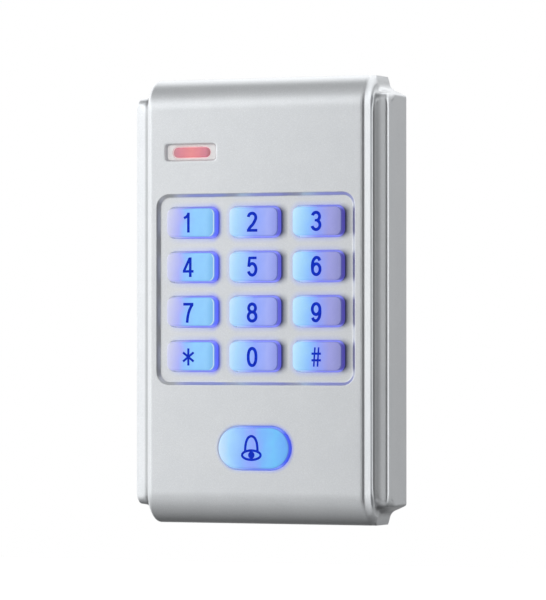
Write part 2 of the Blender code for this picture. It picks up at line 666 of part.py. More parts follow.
def locking_screw():
    """The tamper-resistant screw in the case's underside: a star recess with a pin."""
    bottom = -CASE_HEIGHT / 2
    centre = (0, LOCK_SCREW_Y)
    head_low = bottom + 0.5 * MM
    head_high = bottom + 2.8 * MM - GAP
    screw = cylinder("locking_screw", centre, 2.6 * MM, head_low, head_high, "Z", STEEL)
    join(screw, cylinder("lock_shank", centre, 1.45 * MM, head_high - 0.4 * MM, -51.2 * MM,
                         "Z", sides=16))
    star = []
    for point in range(12):
        angle = math.radians(30 * point)
        radius = 1.5 * MM if point % 2 == 0 else 1.1 * MM
        star.append((radius * math.cos(angle), LOCK_SCREW_Y + radius * math.sin(angle)))
    cut(screw, prism("star_recess", star, head_low - 1 * MM, head_low + 1.2 * MM, "Z"))
    join(screw, cylinder("star_pin", centre, 0.45 * MM, head_low + 0.1 * MM,
                         head_low + 1.5 * MM, "Z", sides=10))


front_case()
keys()
key_mats()
indicator()
circuit_board()
lamps()
antenna()
components()
gasket()
rear_cover()
cable_grommet()
cover_screws()
mounting_plate()
locking_screw()
bpy.context.view_layer.update()
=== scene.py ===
"""Looks of the keypad access reader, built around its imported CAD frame.

Lengths in this file are millimetres until a mesh is made. The front looks along -Y, X is to the
viewer's right and Z is up. The wall plane is Y = 0.
"""

from math import atan2, copysign, cos, exp, pi, radians, sin, sqrt, tan

import bmesh
import bpy
import numpy as np
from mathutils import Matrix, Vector
from mathutils.geometry import delaunay_2d_cdt, tessellate_polygon


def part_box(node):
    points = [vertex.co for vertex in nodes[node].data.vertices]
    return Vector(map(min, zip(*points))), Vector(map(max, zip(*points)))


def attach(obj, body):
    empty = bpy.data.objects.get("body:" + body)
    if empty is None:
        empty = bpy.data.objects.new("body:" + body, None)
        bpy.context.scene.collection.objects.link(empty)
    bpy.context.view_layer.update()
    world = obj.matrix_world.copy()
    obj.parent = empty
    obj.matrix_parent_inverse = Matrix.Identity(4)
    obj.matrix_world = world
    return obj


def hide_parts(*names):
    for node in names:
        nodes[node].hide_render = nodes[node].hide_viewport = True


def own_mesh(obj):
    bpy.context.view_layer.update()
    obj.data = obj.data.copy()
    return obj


MM = 0.001
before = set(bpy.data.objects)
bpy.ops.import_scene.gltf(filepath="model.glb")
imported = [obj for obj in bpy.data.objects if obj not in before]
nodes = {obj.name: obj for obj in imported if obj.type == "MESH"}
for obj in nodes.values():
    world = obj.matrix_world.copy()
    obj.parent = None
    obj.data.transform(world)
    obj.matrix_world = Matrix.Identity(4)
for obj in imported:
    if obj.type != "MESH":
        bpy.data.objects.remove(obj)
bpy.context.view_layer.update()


def mm_box(node):
    """A CAD node's lowest and highest corners, in millimetres."""
    low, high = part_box(node)
    return low / MM, high / MM


def middle_of(node):
    """X and Z of a CAD node's middle."""
    low, high = mm_box(node)
    return (low.x + high.x) / 2, (low.z + high.z) / 2


# ---------------------------------------------------------------- sizes and places

CASE_LOW, CASE_HIGH = mm_box("front_case")
FACE_Y = CASE_LOW.y
HALF_WIDTH, HALF_HEIGHT = CASE_HIGH.x, CASE_HIGH.z
FACE_HALF, CORE_HALF, FILLET_DEPTH = 30.1, 32.25, 2.5
ROLL_DEPTH, ROLL_START, ROLL_HEIGHT = 7.8, 51.4, 8.5
RIM_DEPTH, RIM_RADIUS, HOLLOW_RADIUS = 4.95, 1.0, 0.8
WING_SLOPE = 12  # degrees by which the wing falls away towards its rim
END_ROUND, END_CORNER, END_FRONT = 2.0, 1.3, 54.95  # the wings' front ends
NOTCH_X = 31.25  # half-width of the core's very end, where the notch starts
WING_RISE, WING_SINK = 0.35, 0.7  # how far the core's side wall and rolled edge bend the wing
DRAFT = 0.04  # by which the outline grows from its front end to the back
SUPPORT = 0.3  # a narrow flat border that keeps the shading of the flat faces flat
INNER_Y, BOARD_LEDGE_Y, COVER_LEDGE_Y = -15.2, -10.9, -4.2  # steps of the case's inside
CAVITY_HALVES = ((29.4, 47.5), (31.4, 49.4), (33.2, 53.0))
SCREW_PLACES = [(side_x * 27.3, side_z * 45.8) for side_z in (1, -1) for side_x in (-1, 1)]
CLEARANCE = 0.3  # round the keys, the bell and the window

RECESS_Y = FACE_Y + 0.8
RECESS_BEVEL = 0.85  # how far its sloping wall runs inwards
RECESS_PLACE, RECESS_WIDTH, RECESS_HEIGHT, RECESS_CORNER = (0, 3.0), 55.5, 49.7, 2.75
KEY_LABELS = ("1", "2", "3", "4", "5", "6", "7", "8", "9", "star", "0", "hash")
KEY_PLACES = {label: middle_of(f"key_cap_{label}") for label in KEY_LABELS}
KEY_PITCH_X = KEY_PLACES["2"][0] - KEY_PLACES["1"][0]
KEY_PITCH_Z = KEY_PLACES["1"][1] - KEY_PLACES["4"][1]
KEY_WIDTH, KEY_HEIGHT, KEY_CORNER = 13.9, 7.75, 1.7
BELL_PLACE = middle_of("bell_button")
BELL_WIDTH, BELL_HEIGHT, BELL_CORNER = 20.2, 11.0, 5.49
KEY_BACK_Y, KEY_FLANGE_Y = -14.0, -14.9
KEY_EDGE = 0.6
INK_DEPTH = 0.018
KEY_FRONT_Y = mm_box("key_cap_1")[0].y + INK_DEPTH
BELL_FRONT_Y = mm_box("bell_button")[0].y + INK_DEPTH
LAMP_PLACE = middle_of("indicator_bar")
LAMP_WIDTH, LAMP_HEIGHT, LAMP_CORNER = 14.7, 4.6, 0.9
BAR_WIDTH, BAR_HEIGHT, BAR_CORNER = 10.7, 2.7, 1.34
WEB_FRONT, WEB_BACK, DOME_TOP = -11.9, -10.9, -13.7  # Y of the key mats

# ---------------------------------------------------------------- camera

CAMERA_DISTANCE = 1.058  # metres
CAMERA_TURN = 22.3  # degrees round to the right of the front
CAMERA_DROP = 0.0142  # metres below the middle of the case
CAMERA_LENS = 237.9
AIM_ASIDE, AIM_UP = 0.264, 0.7745  # degrees by which the camera looks past the middle


def make_camera():
    data = bpy.data.cameras.new("camera")
    data.sensor_width = 36
    data.lens = CAMERA_LENS
    data.clip_start = 0.05
    data.clip_end = 30
    camera = bpy.data.objects.new("camera", data)
    turn = radians(CAMERA_TURN)
    camera.location = (CAMERA_DISTANCE * sin(turn),
                       FACE_Y * MM - CAMERA_DISTANCE * cos(turn), -CAMERA_DROP)
    heading, lift = radians(CAMERA_TURN - AIM_ASIDE), radians(AIM_UP)
    aim = Vector((-sin(heading) * cos(lift), cos(heading) * cos(lift),
                  sin(lift)))
    camera.rotation_euler = aim.to_track_quat("-Z", "Y").to_euler()
    bpy.context.scene.collection.objects.link(camera)
    bpy.context.scene.camera = camera


make_camera()
bpy.context.scene.view_settings.view_transform = "Standard"


# ---------------------------------------------------------------- node helpers

def linear(colour):
    """An sRGB colour of 0-255 values as linear RGBA."""
    shares = [value / 255 for value in colour]
    return (*[s / 12.92 if s <= 0.04045 else ((s + 0.055) / 1.055) ** 2.4 for s in shares], 1.0)


class Nodes:
    """Makes and links the nodes of one tree."""

    def __init__(self, tree):
        self.tree = tree

    def feed(self, socket, value):
        if isinstance(value, bpy.types.NodeSocket):
            self.tree.links.new(value, socket)
        else:
            socket.default_value = value

    def node(self, kind, *values, operation=None, **inputs):
        """A shader node. values feed its first sockets, and inputs the sockets of those names."""
        made = self.tree.nodes.new("ShaderNode" + kind)
        if operation:
            made.operation = operation
        for socket, value in zip(made.inputs, values):
            self.feed(socket, value)
        for key, value in inputs.items():
            self.feed(made.inputs[key.replace("_", " ")], value)
        return made

    def maths(self, operation, first, second=0.0):
        return self.node("Math", first, second, operation=operation).outputs[0]

    def times(self, first, *others):
        for other in others:
            first = self.maths("MULTIPLY", first, other)
        return first

    def minus(self, first, second):
        return self.maths("SUBTRACT", first, second)

    def size_of(self, value):
        return self.maths("ABSOLUTE", value)

    def spread(self, value, low, high, start=0.3, end=0.7, smooth=False):
        """value's range start..end stretched over low..high. The usual start and end are those
        of a noise."""
        made = self.node("MapRange", Value=value)
        if smooth:
            made.interpolation_type = "SMOOTHSTEP"
        for key, number in (("From Min", start), ("From Max", end),
                            ("To Min", low), ("To Max", high)):
            made.inputs[key].default_value = number
        return made.outputs["Result"]

    def share(self, value, start, end, smooth=False):
        """0 to 1 as value goes from start to end."""
        return self.spread(value, 0.0, 1.0, start, end, smooth)

    def ramp(self, value, stops, smooth=False):
        """stops are (position, grey or colour)."""
        made = self.node("ValToRGB", Fac=value)
        made.color_ramp.interpolation = "EASE" if smooth else "LINEAR"
        elements = made.color_ramp.elements
        while len(elements) < len(stops):
            elements.new(0.5)
        for element, (position, colour) in zip(elements, stops):
            element.position = position
            if not hasattr(colour, "__len__"):
                colour = (colour,) * 3
            element.color = (*colour[:3], 1.0)
        return made.outputs["Color"]

    def ramp_over(self, value, low, high, stops):
        """A ramp whose stops are at values from low to high."""
        return self.ramp(self.share(value, low, high),
                         [((place - low) / (high - low), level) for place, level in stops])

    def mix(self, factor, first, second, blend="MIX"):
        made = self.node("Mix")
        made.data_type = "RGBA"
        made.blend_type = blend
        for index, value in ((0, factor), (6, first), (7, second)):
            self.feed(made.inputs[index], value)
        return made.outputs[2]

    def parts(self, vector):
        made = self.node("SeparateXYZ", Vector=vector)
        return [made.outputs[letter] for letter in "XYZ"]


class Finish(Nodes):
    """A Principled material and the procedural nodes that feed it."""

    def __init__(self, name, rough=0.4, metal=0.0, **sockets):
        self.material = bpy.data.materials.new(name)
        self.material.use_nodes = True
        super().__init__(self.material.node_tree)
        self.shader = self.tree.nodes["Principled BSDF"]
        self.shader.inputs["Roughness"].default_value = rough
        self.shader.inputs["Metallic"].default_value = metal
        for socket, value in sockets.items():
            self.shader.inputs[socket.replace("_", " ")].default_value = value
        self.place = self.node("TexCoord").outputs["Object"]

    def set(self, socket, value):
        self.feed(self.shader.inputs[socket], value)

    def tones(self, socket, value, dark, light, start=0.3, end=0.7):
        """The socket goes from one colour to another over a noise."""
        self.set(socket, self.ramp(value, [(start, dark), (end, light)]))

    def vary(self, socket, value, low, high, start=0.3, end=0.7):
        self.set(socket, self.spread(value, low, high, start, end))

    def mapped(self, key, value):
        made = self.node("Mapping", Vector=self.place)
        made.inputs[key].default_value = value
        return made.outputs["Vector"]

    def noise(self, size, detail=3.0, place=None):
        """Noise whose features are about size millimetres across."""
        made = self.node("TexNoise", Vector=place or self.place,
                         Scale=1.0 / (size * MM), Detail=detail, Roughness=0.55)
        return made.outputs["Fac"]

    def cells(self, size):
        """A random grey for each cell of about size millimetres."""
        made = self.node("TexVoronoi", Vector=self.place, Scale=1.0 / (size * MM))
        return self.node("SeparateColor", Color=made.outputs["Color"]).outputs[0]

    def in_mm(self, letter):
        """One object coordinate, in millimetres."""
        return self.maths("DIVIDE", self.parts(self.place)["XYZ".index(letter)], MM)

    def bump(self, *layers):
        """layers are (height value, depth in millimetres)."""
        normal = None
        for height, depth in layers:
            made = self.node("Bump", Height=height, Strength=1.0,
                             Distance=depth * MM)
            if normal:
                self.feed(made.inputs["Normal"], normal)
            normal = made.outputs["Normal"]
        self.set("Normal", normal)


# ---------------------------------------------------------------- stage and light

LIGHT_TOP = 2.0
# (bearing in degrees from the front, level): 0 is the front, +90 is the right
LIGHT_AROUND = [(-180, 0.5), (-150, 0.75), (-125, 1.2), (-45, 1.25), (-36, 1.5),
                (-25.3, 1.78), (-19.4, 0.16), (-13, 0.03), (-8, 0.26), (-2.5, 0.86), (4, 0.86),
                (10, 0.3), (16, 0.07), (64, 0.06), (69, 0.3), (73, 1.35), (92, 1.38), (97, 0.9),
                (102, 0.9), (107, 1.6), (116, 1.4), (128, 0.47), (165, 0.44)]
# (y of the direction, level): -1 is the front, 1 is behind
LIGHT_ABOVE = [(-0.9, 0.72), (-0.3, 0.46), (0.05, 0.42), (0.35, 1.1), (0.7, 1.45)]
LIGHT_BELOW = [(-0.9, 0.55), (-0.45, 0.40), (0.0, 0.24), (0.35, 0.12), (0.7, 0.08)]


def world_light():
    """A white room to the camera. Everything else is lit by soft studio panels: a wide one on
    the left, a small one in front, two tall strips on the right and behind, a canopy above and
    a dark floor."""
    world = bpy.data.worlds.new("studio")
    bpy.context.scene.world = world
    world.use_nodes = True
    world.node_tree.nodes.clear()
    sky = Nodes(world.node_tree)

    def levels(value, low, high, stops):
        return sky.ramp_over(value, low, high, [(place, level / LIGHT_TOP)
                                                for place, level in stops])

    x, y, z = sky.parts(sky.node("TexCoord").outputs["Generated"])
    bearing = sky.maths("DEGREES", sky.maths("ARCTAN2", x, sky.times(y, -1.0)))
    # the panels are a little brighter towards the top
    around = sky.node("VectorMath", levels(bearing, -180, 180, LIGHT_AROUND),
                      operation="SCALE", Scale=sky.spread(z, 0.64, 1.36, -0.3, 0.3))
    # behind the object the canopy and the floor come closer to the horizon
    rise = sky.times(z, sky.spread(y, 1.0, 1.25, 0.2, 0.8))
    light = sky.mix(sky.share(rise, 0.24, 0.74, True), around.outputs["Vector"],
                    levels(y, -1, 1, LIGHT_ABOVE))
    light = sky.mix(sky.share(rise, -0.26, -0.75, True), light, levels(y, -1, 1, LIGHT_BELOW))
    studio = sky.node("Background", Color=light, Strength=LIGHT_TOP)
    white = sky.node("Background", Color=(1, 1, 1, 1), Strength=1.0)
    choice = sky.node("MixShader", sky.node("LightPath")
                      .outputs["Is Camera Ray"], studio.outputs[0], white.outputs[0])
    sky.node("OutputWorld", choice.outputs[0])


def make_floor():
    """A plain pale floor well below the reader, which hangs free of it."""
    mesh = bpy.data.meshes.new("floor")
    size, level = 4.0, -0.30
    mesh.from_pydata([(-size, -size, level), (size, -size, level), (size, size, level),
                      (-size, size, level)], [], [(0, 1, 2, 3)])
    floor = bpy.data.objects.new("floor", mesh)
    bpy.context.scene.collection.objects.link(floor)
    paint = bpy.data.materials.new("floor_white")
    paint.use_nodes = True
    shader = paint.node_tree.nodes["Principled BSDF"]
    for socket, value in (("Base Color", (0.9, 0.9, 0.9, 1)), ("Roughness", 0.9),
                          ("Emission Color", (1, 1, 1, 1)), ("Emission Strength", 0.75)):
        shader.inputs[socket].default_value = value
    mesh.materials.append(paint)
    for ray in ("visible_diffuse", "visible_glossy", "visible_transmission", "visible_shadow"):
        setattr(floor, ray, False)


world_light()
make_floor()


# ---------------------------------------------------------------- outlines and meshes

def arc(centre, radii, start, end, steps):
    """Points of an elliptical arc, angles in degrees."""
    return [(centre[0] + radii[0] * cos(radians(start + (end - start) * i / steps)),
             centre[1] + radii[1] * sin(radians(start + (end - start) * i / steps)))
            for i in range(steps + 1)]


def loop(centre, width, height, radius, steps=8):
    """A rounded rectangle. Every loop with the same steps has the same number of points."""
    points = []
    for quarter, (side_x, side_z) in enumerate(((1, 1), (-1, 1), (-1, -1), (1, -1))):
        corner = (centre[0] + side_x * (width / 2 - radius),
                  centre[1] + side_z * (height / 2 - radius))
        points += arc(corner, (radius, radius), 90 * quarter, 90 * quarter + 90, steps)
    return points


def round_loop(centre, radius, sides=32):
    """A circle's points, without the first one again at the end."""
    return arc(centre, (radius, radius), 0, 360 - 360 / sides, sides - 1)


def eased(path, radii, steps=5):
    """A path of points with its inner corners rounded. radii gives one radius per corner."""
    points = [path[0]]
    for before, corner, after, radius in zip(path, path[1:], path[2:], radii):
        a, c, b = (Vector(p) for p in (before, corner, after))
        one, two = (a - c).normalized(), (b - c).normalized()
        half = one.angle(two) / 2
        if radius <= 0 or half > radians(89):
            points.append(corner)
            continue
        run = radius / tan(half)
        centre = c + (one + two).normalized() * (radius / sin(half))
        first, last = c + one * run - centre, c + two * run - centre
        turn = atan2(first.x * last.y - first.y * last.x, first.dot(last))
        for step in range(steps + 1):
            angle = turn * step / steps
            points.append((centre.x + first.x * cos(angle) - first.y * sin(angle),
                           centre.y + first.x * sin(angle) + first.y * cos(angle)))
    return points + [path[-1]]


class Surface:
    """Collects patches of points and faces in millimetres and welds them into one mesh."""

    def __init__(self):
        self.points = []
        self.faces = []

    def add(self, points, faces):
        start = len(self.points)
        self.points += [tuple(p) for p in points]
        self.faces += [[start + i for i in face] for face in faces]

    def grid(self, rows, closed=False):
        count = len(rows[0])
        faces = []
        for row in range(len(rows) - 1):
            for first in range(count if closed else count - 1):
                second = (first + 1) % count
                faces.append((row * count + first, row * count + second,
                              (row + 1) * count + second, (row + 1) * count + first))
        self.add([p for row in rows for p in row], faces)

    def sheet(self, y, loops):
        """A flat face at one depth: the first loop is its edge, the others are holes."""
        rings = [[Vector((x, z, 0)) for x, z in ring] for ring in loops]
        self.add([(x, y, z) for ring in loops for x, z in ring], tessellate_polygon(rings))

    def swept(self, path, ring):
        """ring(outset) gives a loop; path is (outset, y) pairs. Returns the last loop."""
        self.grid([[(x, y, z) for x, z in ring(outset)] for outset, y in path], closed=True)
        return ring(path[-1][0])

    def turned(self, profile, centre):
        """A closed profile of (radius, y) points turned about an axis along Y."""
        self.grid([[(x, y, z) for x, z in round_loop(centre, radius)]
                   for radius, y in profile + [profile[0]]], closed=True)

    def hoop(self, path, radius, sides=6):
        """A closed loop of round wire along a path of upright points."""
        points = [Vector(p) for p in path]
        rows = []
        for i, point in enumerate(points):
            along = (points[(i + 1) % len(points)] - points[i - 1]).normalized()
            side = along.cross(Vector((0, 1, 0))).normalized()
            up = side.cross(along)
            rows.append([point + side * a + up * b
                         for a, b in round_loop((0, 0), radius, sides)])
        self.grid(rows + [rows[0]], closed=True)

    def post(self, rows):
        """A closed bar through rows of corners."""
        self.grid(rows, closed=True)
        for row in (rows[0], rows[-1]):
            self.add(row, [tuple(range(len(row)))])

    def made(self, name, finish, body=None, centre=(0, 0, 0), sharp=32, weld=1e-3):
        """The welded mesh as an object whose own origin is at centre."""
        work = bmesh.new()
        verts = [work.verts.new([(v - c) * MM for v, c in zip(p, centre)])
                 for p in self.points]
        for face in self.faces:
            if len(set(face)) > 2:
                try:
                    work.faces.new([verts[i] for i in face])
                except ValueError:
                    continue
        bmesh.ops.remove_doubles(work, verts=work.verts, dist=weld * MM)
        bmesh.ops.dissolve_degenerate(work, edges=work.edges, dist=1e-7)
        bmesh.ops.delete(work, geom=[v for v in work.verts if not v.link_faces],
                         context="VERTS")
        bmesh.ops.recalc_face_normals(work, faces=work.faces)
        mesh = bpy.data.meshes.new(name)
        work.to_mesh(mesh)
        work.free()
        mesh.shade_smooth()
        mesh.set_sharp_from_angle(angle=radians(sharp))
        if finish:
            mesh.materials.append(finish)
        piece = bpy.data.objects.new(name, mesh)
        piece.location = [c * MM for c in centre]
        bpy.context.scene.collection.objects.link(piece)
        if body:
            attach(piece, body)
        return piece


def ring_about(centre, width, height, corner, clearance=0.0):
    """A loop as a function of how far it is set out from its nominal size."""
    def ring(outset):
        grow = clearance + outset
        return loop(centre, width + 2 * grow, height + 2 * grow, max(corner + grow, 0.3))
    return ring


def stand_in(piece, node):
    """The piece is drawn in place of a CAD node."""
    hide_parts(node)


# ---------------------------------------------------------------- finishes

def painted_glow_and_shade(paint):
    """Painted light and shade on the paint round the lit keys: a painted blue glow stands in for the
    light that spills from the gaps round them, and a painted shadow lies beside the taller right-hand
    sides of the middle and right columns. Outside the keypad and the bell's surroundings only the
    hollows beside the core get painted shade."""
    x, y, z = (paint.in_mm(letter) for letter in "XYZ")

    def distance(across, up, half_x, half_z, corner):
        """How far a place lies outside a rounded rectangle, from its own centre."""
        out_x, out_z = (paint.maths("MAXIMUM", paint.minus(paint.size_of(value), half - corner))
                        for value, half in ((across, half_x), (up, half_z)))
        square = paint.maths("ADD", paint.times(out_x, out_x), paint.times(out_z, out_z))
        return paint.minus(paint.maths("SQRT", square), corner)

    def folded(value, pitch, start):
        """The same value measured from the middle of its own pitch."""
        share = paint.maths("FRACT", paint.maths("DIVIDE", paint.minus(value, start), pitch))
        return paint.times(paint.minus(share, 0.5), pitch)

    def along(reach, *stops):
        """Grey stops at millimetres of X, from -reach to reach."""
        return paint.ramp_over(x, -reach, reach, stops)

    def between(value, low, high, soft=0.2):
        return paint.times(paint.share(value, low, low + soft),
                           paint.share(value, high + soft, high))

    def tinted(tint, gap, reach, strength, colour, where):
        fade = paint.ramp(paint.share(gap, reach, 0.0), [(0.0, 0.0), (1.0, 1.0)], True)
        return paint.mix(paint.times(fade, strength, where), tint, (*colour, 1))

    on_floor = between(y, RECESS_Y - 0.3, RECESS_Y + 0.5)
    for value, size in ((x, RECESS_WIDTH), (paint.minus(z, RECESS_PLACE[1]), RECESS_HEIGHT)):
        on_floor = paint.times(on_floor, paint.share(paint.size_of(value), size / 2 + 0.15,
                                                     size / 2 - 0.15))
    on_face = paint.times(paint.share(y, FACE_Y + 1.2, FACE_Y + 0.7),
                          paint.share(z, -29.0, -31.0))
    row_z = folded(z, KEY_PITCH_Z, KEY_PLACES["star"][1] - KEY_PITCH_Z / 2)
    key_gap = distance(folded(x, KEY_PITCH_X, -1.5 * KEY_PITCH_X), row_z,
                       KEY_WIDTH / 2, KEY_HEIGHT / 2, KEY_CORNER)
    bell_gap = distance(x, paint.minus(z, BELL_PLACE[1]), BELL_WIDTH / 2, BELL_HEIGHT / 2,
                        BELL_CORNER)
    blue, violet, shade = (0.80, 0.87, 1.25), (0.46, 0.47, 1.25), (0.20, 0.21, 0.23)
    pale = along(28, (-25.2, 0.10), (-22, 0.5), (-12, 0.75), (-11, 0.2), (-9.2, 0.3),
                 (-9.0, 0.8), (4.0, 0.55), (7.5, 0.15), (9.0, 0.15), (9.2, 0.8), (21, 0.5),
                 (25, 0.1))
    deep = along(28, (-24, 0.0), (-14, 0.2), (-11.2, 0.95), (-9.3, 0.8), (-9.0, 0.0), (-2, 0.15),
                 (5, 0.2), (7.0, 0.3), (9.0, 0.0), (15, 0.12), (21, 0.2), (25.5, 0.2))
    dark = along(28, (-12, 0.0), (-11, 0.20), (-9.2, 0.1), (-9.0, 0.0), (5.0, 0.0), (7.0, 1.0),
                 (9.0, 0.95), (9.3, 0.0), (23.2, 0.0), (25.2, 1.0), (27.6, 1.0))
    beside = paint.times(on_floor, paint.share(paint.size_of(row_z), 5.0, 2.9))
    # painted glow: blue and violet round each key; painted shadow right of the middle and right
    # columns' keys
    tint = tinted((1.0, 1.0, 1.0, 1.0), key_gap, 2.2, pale, blue, on_floor)
    tint = tinted(tint, key_gap, 1.7, deep, violet, on_floor)
    tint = tinted(tint, key_gap, 3.2, dark, shade, beside)
    # painted glow round the bell, more violet on its right
    tint = tinted(tint, bell_gap, 1.6, along(14, (-11, 0.7), (0, 0.6), (9, 0.55), (11, 0.4)),
                  blue, on_face)
    tint = tinted(tint, bell_gap, 1.6, along(14, (-4, 0.0), (6, 0.45), (11, 1.0)), violet,
                  on_face)
    # painted shade: the hollows beside the core are darkened where shade falls in them
    painted_hollow_shade = along(37, (-33.7, 1.0), (-33.3, 0.66), (-32.6, 0.62), (-32.25, 1.0), (32.3, 1.0),
                   (32.7, 0.74), (33.1, 0.66), (33.6, 0.58), (34.1, 0.72), (34.8, 1.0))
    return paint.mix(between(y, -15.7, -11.0), tint, paint.mix(1.0, tint, painted_hollow_shade, "MULTIPLY"))


def silver_paint():
    """Sprayed silver paint: fine aluminium flake under a thin, slightly rippled clear layer."""
    paint = Finish("silver_paint", metal=0.86, Coat_Weight=0.12, Coat_Roughness=0.12)
    flake = paint.cells(0.11)
    grain = paint.noise(0.22, 2.0)
    cloud = paint.ramp(paint.noise(9.0, 2.0), [(0.3, (0.742, 0.766, 0.790)),
                                               (0.7, (0.770, 0.793, 0.815))])
    # the base colour carries painted glow and shade round the keys and painted shade in the hollows
    base = paint.mix(1.0, painted_glow_and_shade(paint), cloud, "MULTIPLY")
    speck = paint.ramp(flake, [(0.0, 0.93), (0.85, 1.0), (1.0, 1.10)])
    paint.set("Base Color", paint.mix(1.0, base, speck, "MULTIPLY"))
    paint.vary("Roughness", grain, 0.28, 0.38)
    paint.bump((paint.noise(1.3, 1.5), 0.004), (grain, 0.0016), (flake, 0.0010))
    return paint.material


def key_finish(name, width, stops, sides, line, rim=False):
    """Milky translucent plastic lit from behind: its glow changes across the cap, and its side
    walls are a deeper blue than its top. stops are (share of the width, sRGB colour), and sides
    has the left, middle and right colours of the walls, the darker right-hand ones painted shade.
    line is the strength of a painted shade line across the cap, and rim adds a painted highlight
    along the right-hand edge."""
    made = Finish(name, Specular_IOR_Level=0.45, IOR=1.49, Coat_Weight=0.3, Coat_Roughness=0.08)
    across = made.maths("ADD", made.share(made.in_mm("X"), -width / 2, width / 2),
                        made.spread(made.noise(5.0, 1.0), -0.05, 0.05))
    left, middle, right = sides
    top = made.ramp(across, [(share, linear(colour)) for share, colour in stops])
    side = made.ramp(across, [(share, linear(colour)) for share, colour in
                              ((0.03, left), (0.4, middle), (0.85, middle), (0.97, right))])
    depth = made.in_mm("Y")  # from the top of the cap, growing towards the wall
    colour = made.mix(made.share(depth, 0.3, 1.0), top, side)
    # painted shade: a thin darker line runs round the edge, but not on the left
    edge = made.ramp(depth, [(0.0, 0.0), (0.22, 0.0), (0.42, 0.8), (0.62, 0.6), (0.95, 0.0)])
    colour = made.mix(made.times(edge, made.ramp(across, line)), colour, linear((52, 70, 150)))
    if rim:
        # painted highlight: a pale line along the right-hand edge of the top, standing in for a
        # reflection
        painted_highlight = made.ramp(depth, [(0.0, 0.0), (0.13, 0.0), (0.2, 0.85), (0.28, 0.85), (0.4, 0.0)])
        at_right = made.ramp(across, [(0.90, 0.0), (0.95, 1.0)])
        colour = made.mix(made.times(painted_highlight, at_right), colour, linear((226, 244, 255)))
    made.set("Base Color", made.mix(0.55, colour, (0, 0, 0, 1)))
    made.set("Emission Color", colour)
    made.vary("Emission Strength", made.noise(2.5, 2.0), 0.69, 0.75)
    made.vary("Roughness", made.noise(0.5, 2.0), 0.20, 0.28)
    made.bump((made.noise(0.35, 2.0), 0.0012), (made.noise(3.0, 1.0), 0.004))
    return made.material


def grained(name, dark, light, size, rough, depth=0.002):
    """A moulded or cured surface: two tones clouded at one scale, with finer grain."""
    made = Finish(name)
    cloud, fine = made.noise(size), made.noise(size / 7, 2.0)
    middle = (*[0.5 * (a + b) for a, b in zip(dark, light)], 1)
    made.set("Base Color", made.mix(made.spread(fine, 0.0, 0.35),
                                    made.ramp(cloud, [(0.32, dark), (0.68, light)]), middle))
    made.vary("Roughness", cloud, rough - 0.06, rough + 0.08)
    made.bump((cloud, depth), (fine, depth * 0.5))
    return made.material


def zinc_plated():
    """Cold-rolled steel with bright zinc plating: rolling lines, faint spangle, light scuffs."""
    made = Finish("zinc_plated_steel", metal=1.0)
    rolled = made.noise(0.5, 3.0, made.mapped("Scale", (1.0, 1.0, 0.04)))
    scuff = made.noise(0.9, 4.0, made.mapped("Scale", (0.12, 1.0, 1.0)))
    tone = made.ramp(made.cells(2.2), [(0.0, (0.47, 0.49, 0.52)), (1.0, (0.58, 0.60, 0.62))])
    made.set("Base Color", made.mix(made.spread(rolled, 0.0, 0.5, 0.35, 0.65), tone,
                                    (0.66, 0.67, 0.68, 1)))
    made.vary("Roughness", scuff, 0.24, 0.44, 0.35, 0.65)
    made.bump((rolled, 0.003), (scuff, 0.002))
    return made.material


def brushed(name, dark, light, rough, stretch):
    """Bare metal with fine lines along the axis whose stretch is small."""
    made = Finish(name, metal=1.0)
    lines = made.noise(0.25, 3.0, made.mapped("Scale", stretch))
    made.tones("Base Color", lines, dark, light, 0.35, 0.65)
    made.vary("Roughness", lines, rough - 0.07, rough + 0.1)
    made.bump((lines, 0.0015))
    return made.material


def solder_mask():
    """Green solder mask over etched tracks, which show as faint raised lanes."""
    made = Finish("solder_mask_board", Coat_Weight=0.3, Coat_Roughness=0.15)
    lanes = made.node("TexBrick", Scale=300.0, Mortar_Size=0.012,
                      Vector=made.mapped("Rotation", (pi / 2, 0, 0))).outputs["Fac"]
    cloud = made.noise(3.0)
    mask = made.ramp(cloud, [(0.3, (0.008, 0.085, 0.035)), (0.7, (0.013, 0.125, 0.05))])
    made.set("Base Color", made.mix(lanes, mask, (0.035, 0.22, 0.085, 1)))
    made.vary("Roughness", cloud, 0.28, 0.42)
    made.bump((lanes, 0.02), (cloud, 0.002))
    return made.material


def lamp_finish(name, colour, strength):
    """A lamp package: clear resin over a glowing die, brighter in the middle."""
    made = Finish(name, rough=0.18, Coat_Weight=0.5)
    cloud = made.noise(0.6, 2.0)
    made.tones("Base Color", cloud, [0.7 * c + 0.2 for c in colour],
               [0.5 * c + 0.4 for c in colour])
    made.tones("Emission Color", cloud, colour, [0.8 * c + 0.15 for c in colour], 0.2, 0.8)
    made.vary("Emission Strength", cloud, strength * 0.8, strength * 1.2)
    made.bump((cloud, 0.004))
    return made.material


def enamelled_copper():
    """Copper wire under a clear amber enamel."""
    made = Finish("enamelled_copper", metal=1.0, Coat_Weight=0.6, Coat_Roughness=0.1)
    cloud = made.noise(1.5)
    made.tones("Base Color", cloud, (0.48, 0.17, 0.06), (0.66, 0.29, 0.12))
    made.vary("Roughness", cloud, 0.22, 0.38)
    made.bump((cloud, 0.002))
    return made.material


def legend_ink():
    """Dark blue translucent ink with the key's light behind it."""
    ink = Finish("legend_ink", rough=0.5, Specular_IOR_Level=0.12)
    cloud = ink.noise(0.6, 2.0)
    ink.tones("Base Color", cloud, linear((0, 16, 100)), linear((2, 24, 120)))
    ink.tones("Emission Color", cloud, linear((0, 44, 216)), linear((0, 62, 232)))
    ink.vary("Emission Strength", cloud, 0.50, 0.62)
    ink.bump((ink.noise(0.15, 2.0), 0.002))
    return ink.material


